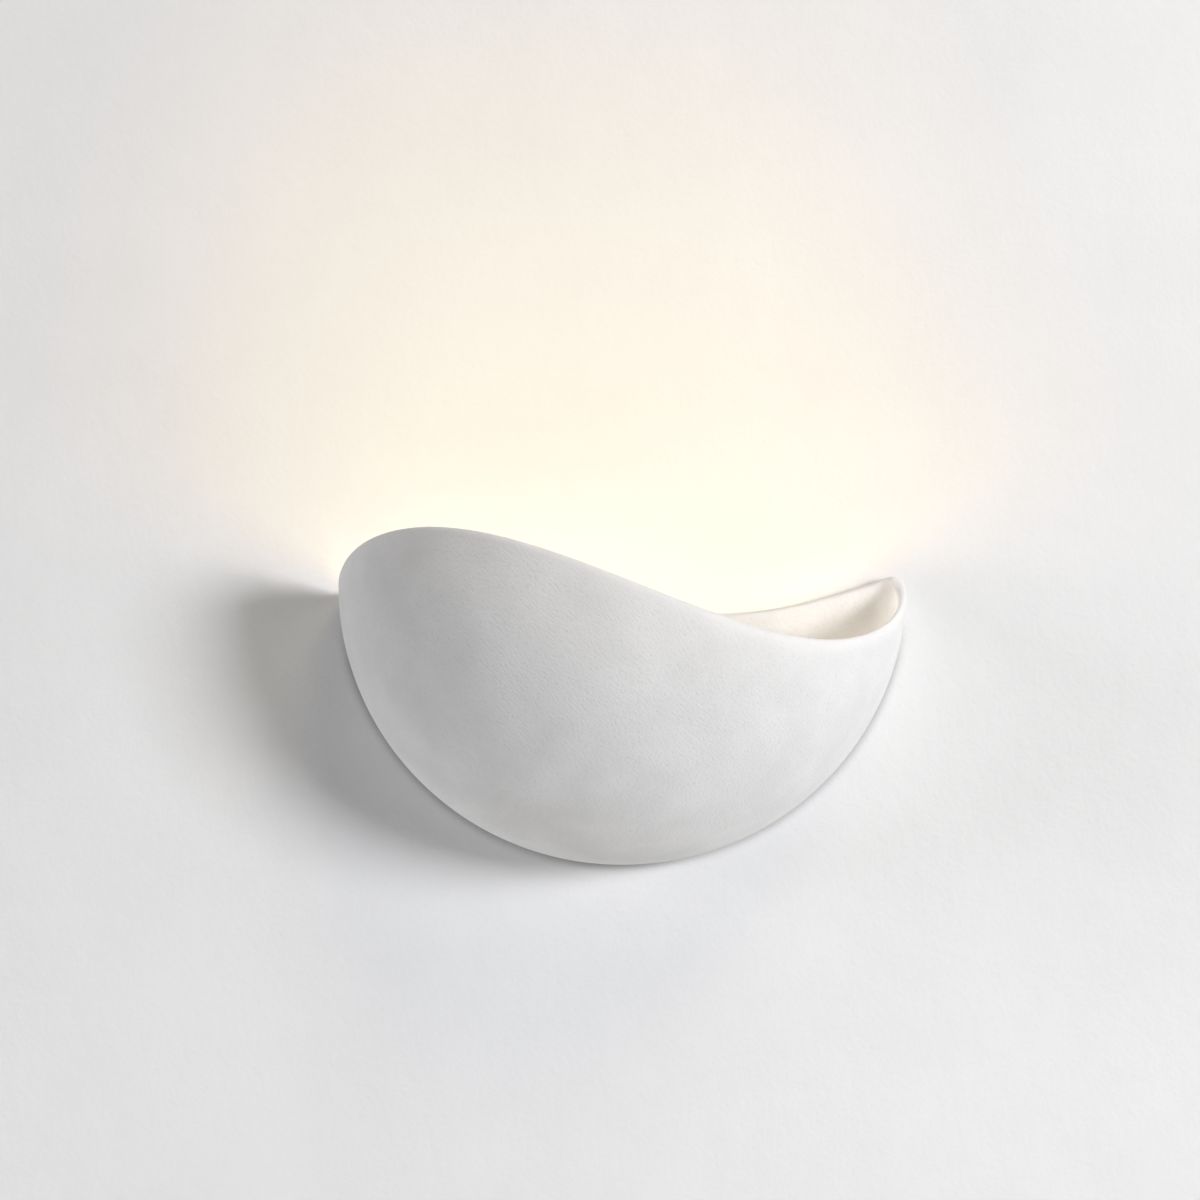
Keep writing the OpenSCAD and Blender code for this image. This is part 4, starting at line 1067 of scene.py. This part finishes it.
WALL_Y, FLOOR_Z, CEILING_Z = 0.0004, -1, 2.5
FLOOR_REACH, FLOOR_FRONT, FLOOR_BACK = 3, -4, 3
sheet("wall", [(-WALL_REACH, WALL_Y, FLOOR_Z), (WALL_REACH, WALL_Y, FLOOR_Z), (WALL_REACH, WALL_Y, CEILING_Z),
               (-WALL_REACH, WALL_Y, CEILING_Z)], wall_paint())
sheet("floor", [(-FLOOR_REACH, FLOOR_FRONT, FLOOR_Z), (FLOOR_REACH, FLOOR_FRONT, FLOOR_Z),
                (FLOOR_REACH, FLOOR_BACK, FLOOR_Z), (-FLOOR_REACH, FLOOR_BACK, FLOOR_Z)], floor_paint())


def lamp(name, place, aim, power, colour, size, **settings):
    light = bpy.data.lights.new(name, "AREA")
    light.energy = power
    light.color = colour
    light.size = size
    for key, value in settings.items():
        setattr(light, key, value)
    made = bpy.data.objects.new(name, light)
    made.location = place
    made.rotation_euler = (Vector(aim) - Vector(place)).to_track_quat("-Z", "Y").to_euler()
    scene.collection.objects.link(made)
    return made


# Room lamps stand round the bowl's middle, at an angle to the right of straight ahead and one above level.
MIDDLE = Vector((0, 0, 0.05))
LAMP_DISTANCE = 2.6
for name, aside, height, power, colour, size in (
        ("key", 46, 10.5, 58, (0.96, 0.97, 1.0), 0.8),
        ("fill", -72, 8, 19.2, (0.95, 0.96, 1.0), 1.1),
        ("high", 30, 55, 13.8, (1.0, 0.87, 0.65), 1.0),
        ("behind", 176, 16, 20, (1.0, 1.0, 1.0), 1.6)):
    way = Vector((sin(aside) * cos(height), -cos(aside) * cos(height), sin(height)))
    lamp(name, way * LAMP_DISTANCE + MIDDLE, MIDDLE, power, colour, size, shape="DISK")

# Small lamps inside the bowl stand for the light that its cover throws up and to both ends.
inside = [lamp("uplight", (0, -0.06, 0.04), (0, -0.05, 1), 0.011, (1.0, 0.90, 0.79), 0.16, shape="RECTANGLE",
               size_y=0.03)]
for side, x in (("left", -1), ("right", 1)):
    inside.append(lamp(side + "_end_glow", (x * 0.091, -0.06, 0.022), (x * 0.128, -0.009, 0.057), 0.0073,
                       (1.0, 0.915, 0.81), 0.04, shape="RECTANGLE", size_y=0.02, spread=math.radians(120)))
    inside.append(lamp(side + "_side_glow", (x * -0.03, -0.05, 0.05), (x * 0.135, -0.036, 0.055), 0.0085,
                       (1.0, 0.95, 0.9), 0.02, shape="DISK", spread=math.radians(40)))
for glow in inside:
    glow.visible_camera = False

world = bpy.data.worlds.new("room_light")
scene.world = world
world.use_nodes = True
sky = Nodes(world.node_tree)
sky.tree.nodes.clear()
soft, pale = (sky.add("ShaderNodeBackground", {"Color": colour, "Strength": strength})
              for colour, strength in (((0.93, 0.96, 1.0, 1), 0.02), ((0.82, 0.83, 0.84, 1), 1.0)))
both = sky.add("ShaderNodeMixShader", {0: seen_directly(sky), 1: soft, 2: pale})
sky.add("ShaderNodeOutputWorld", {0: both})
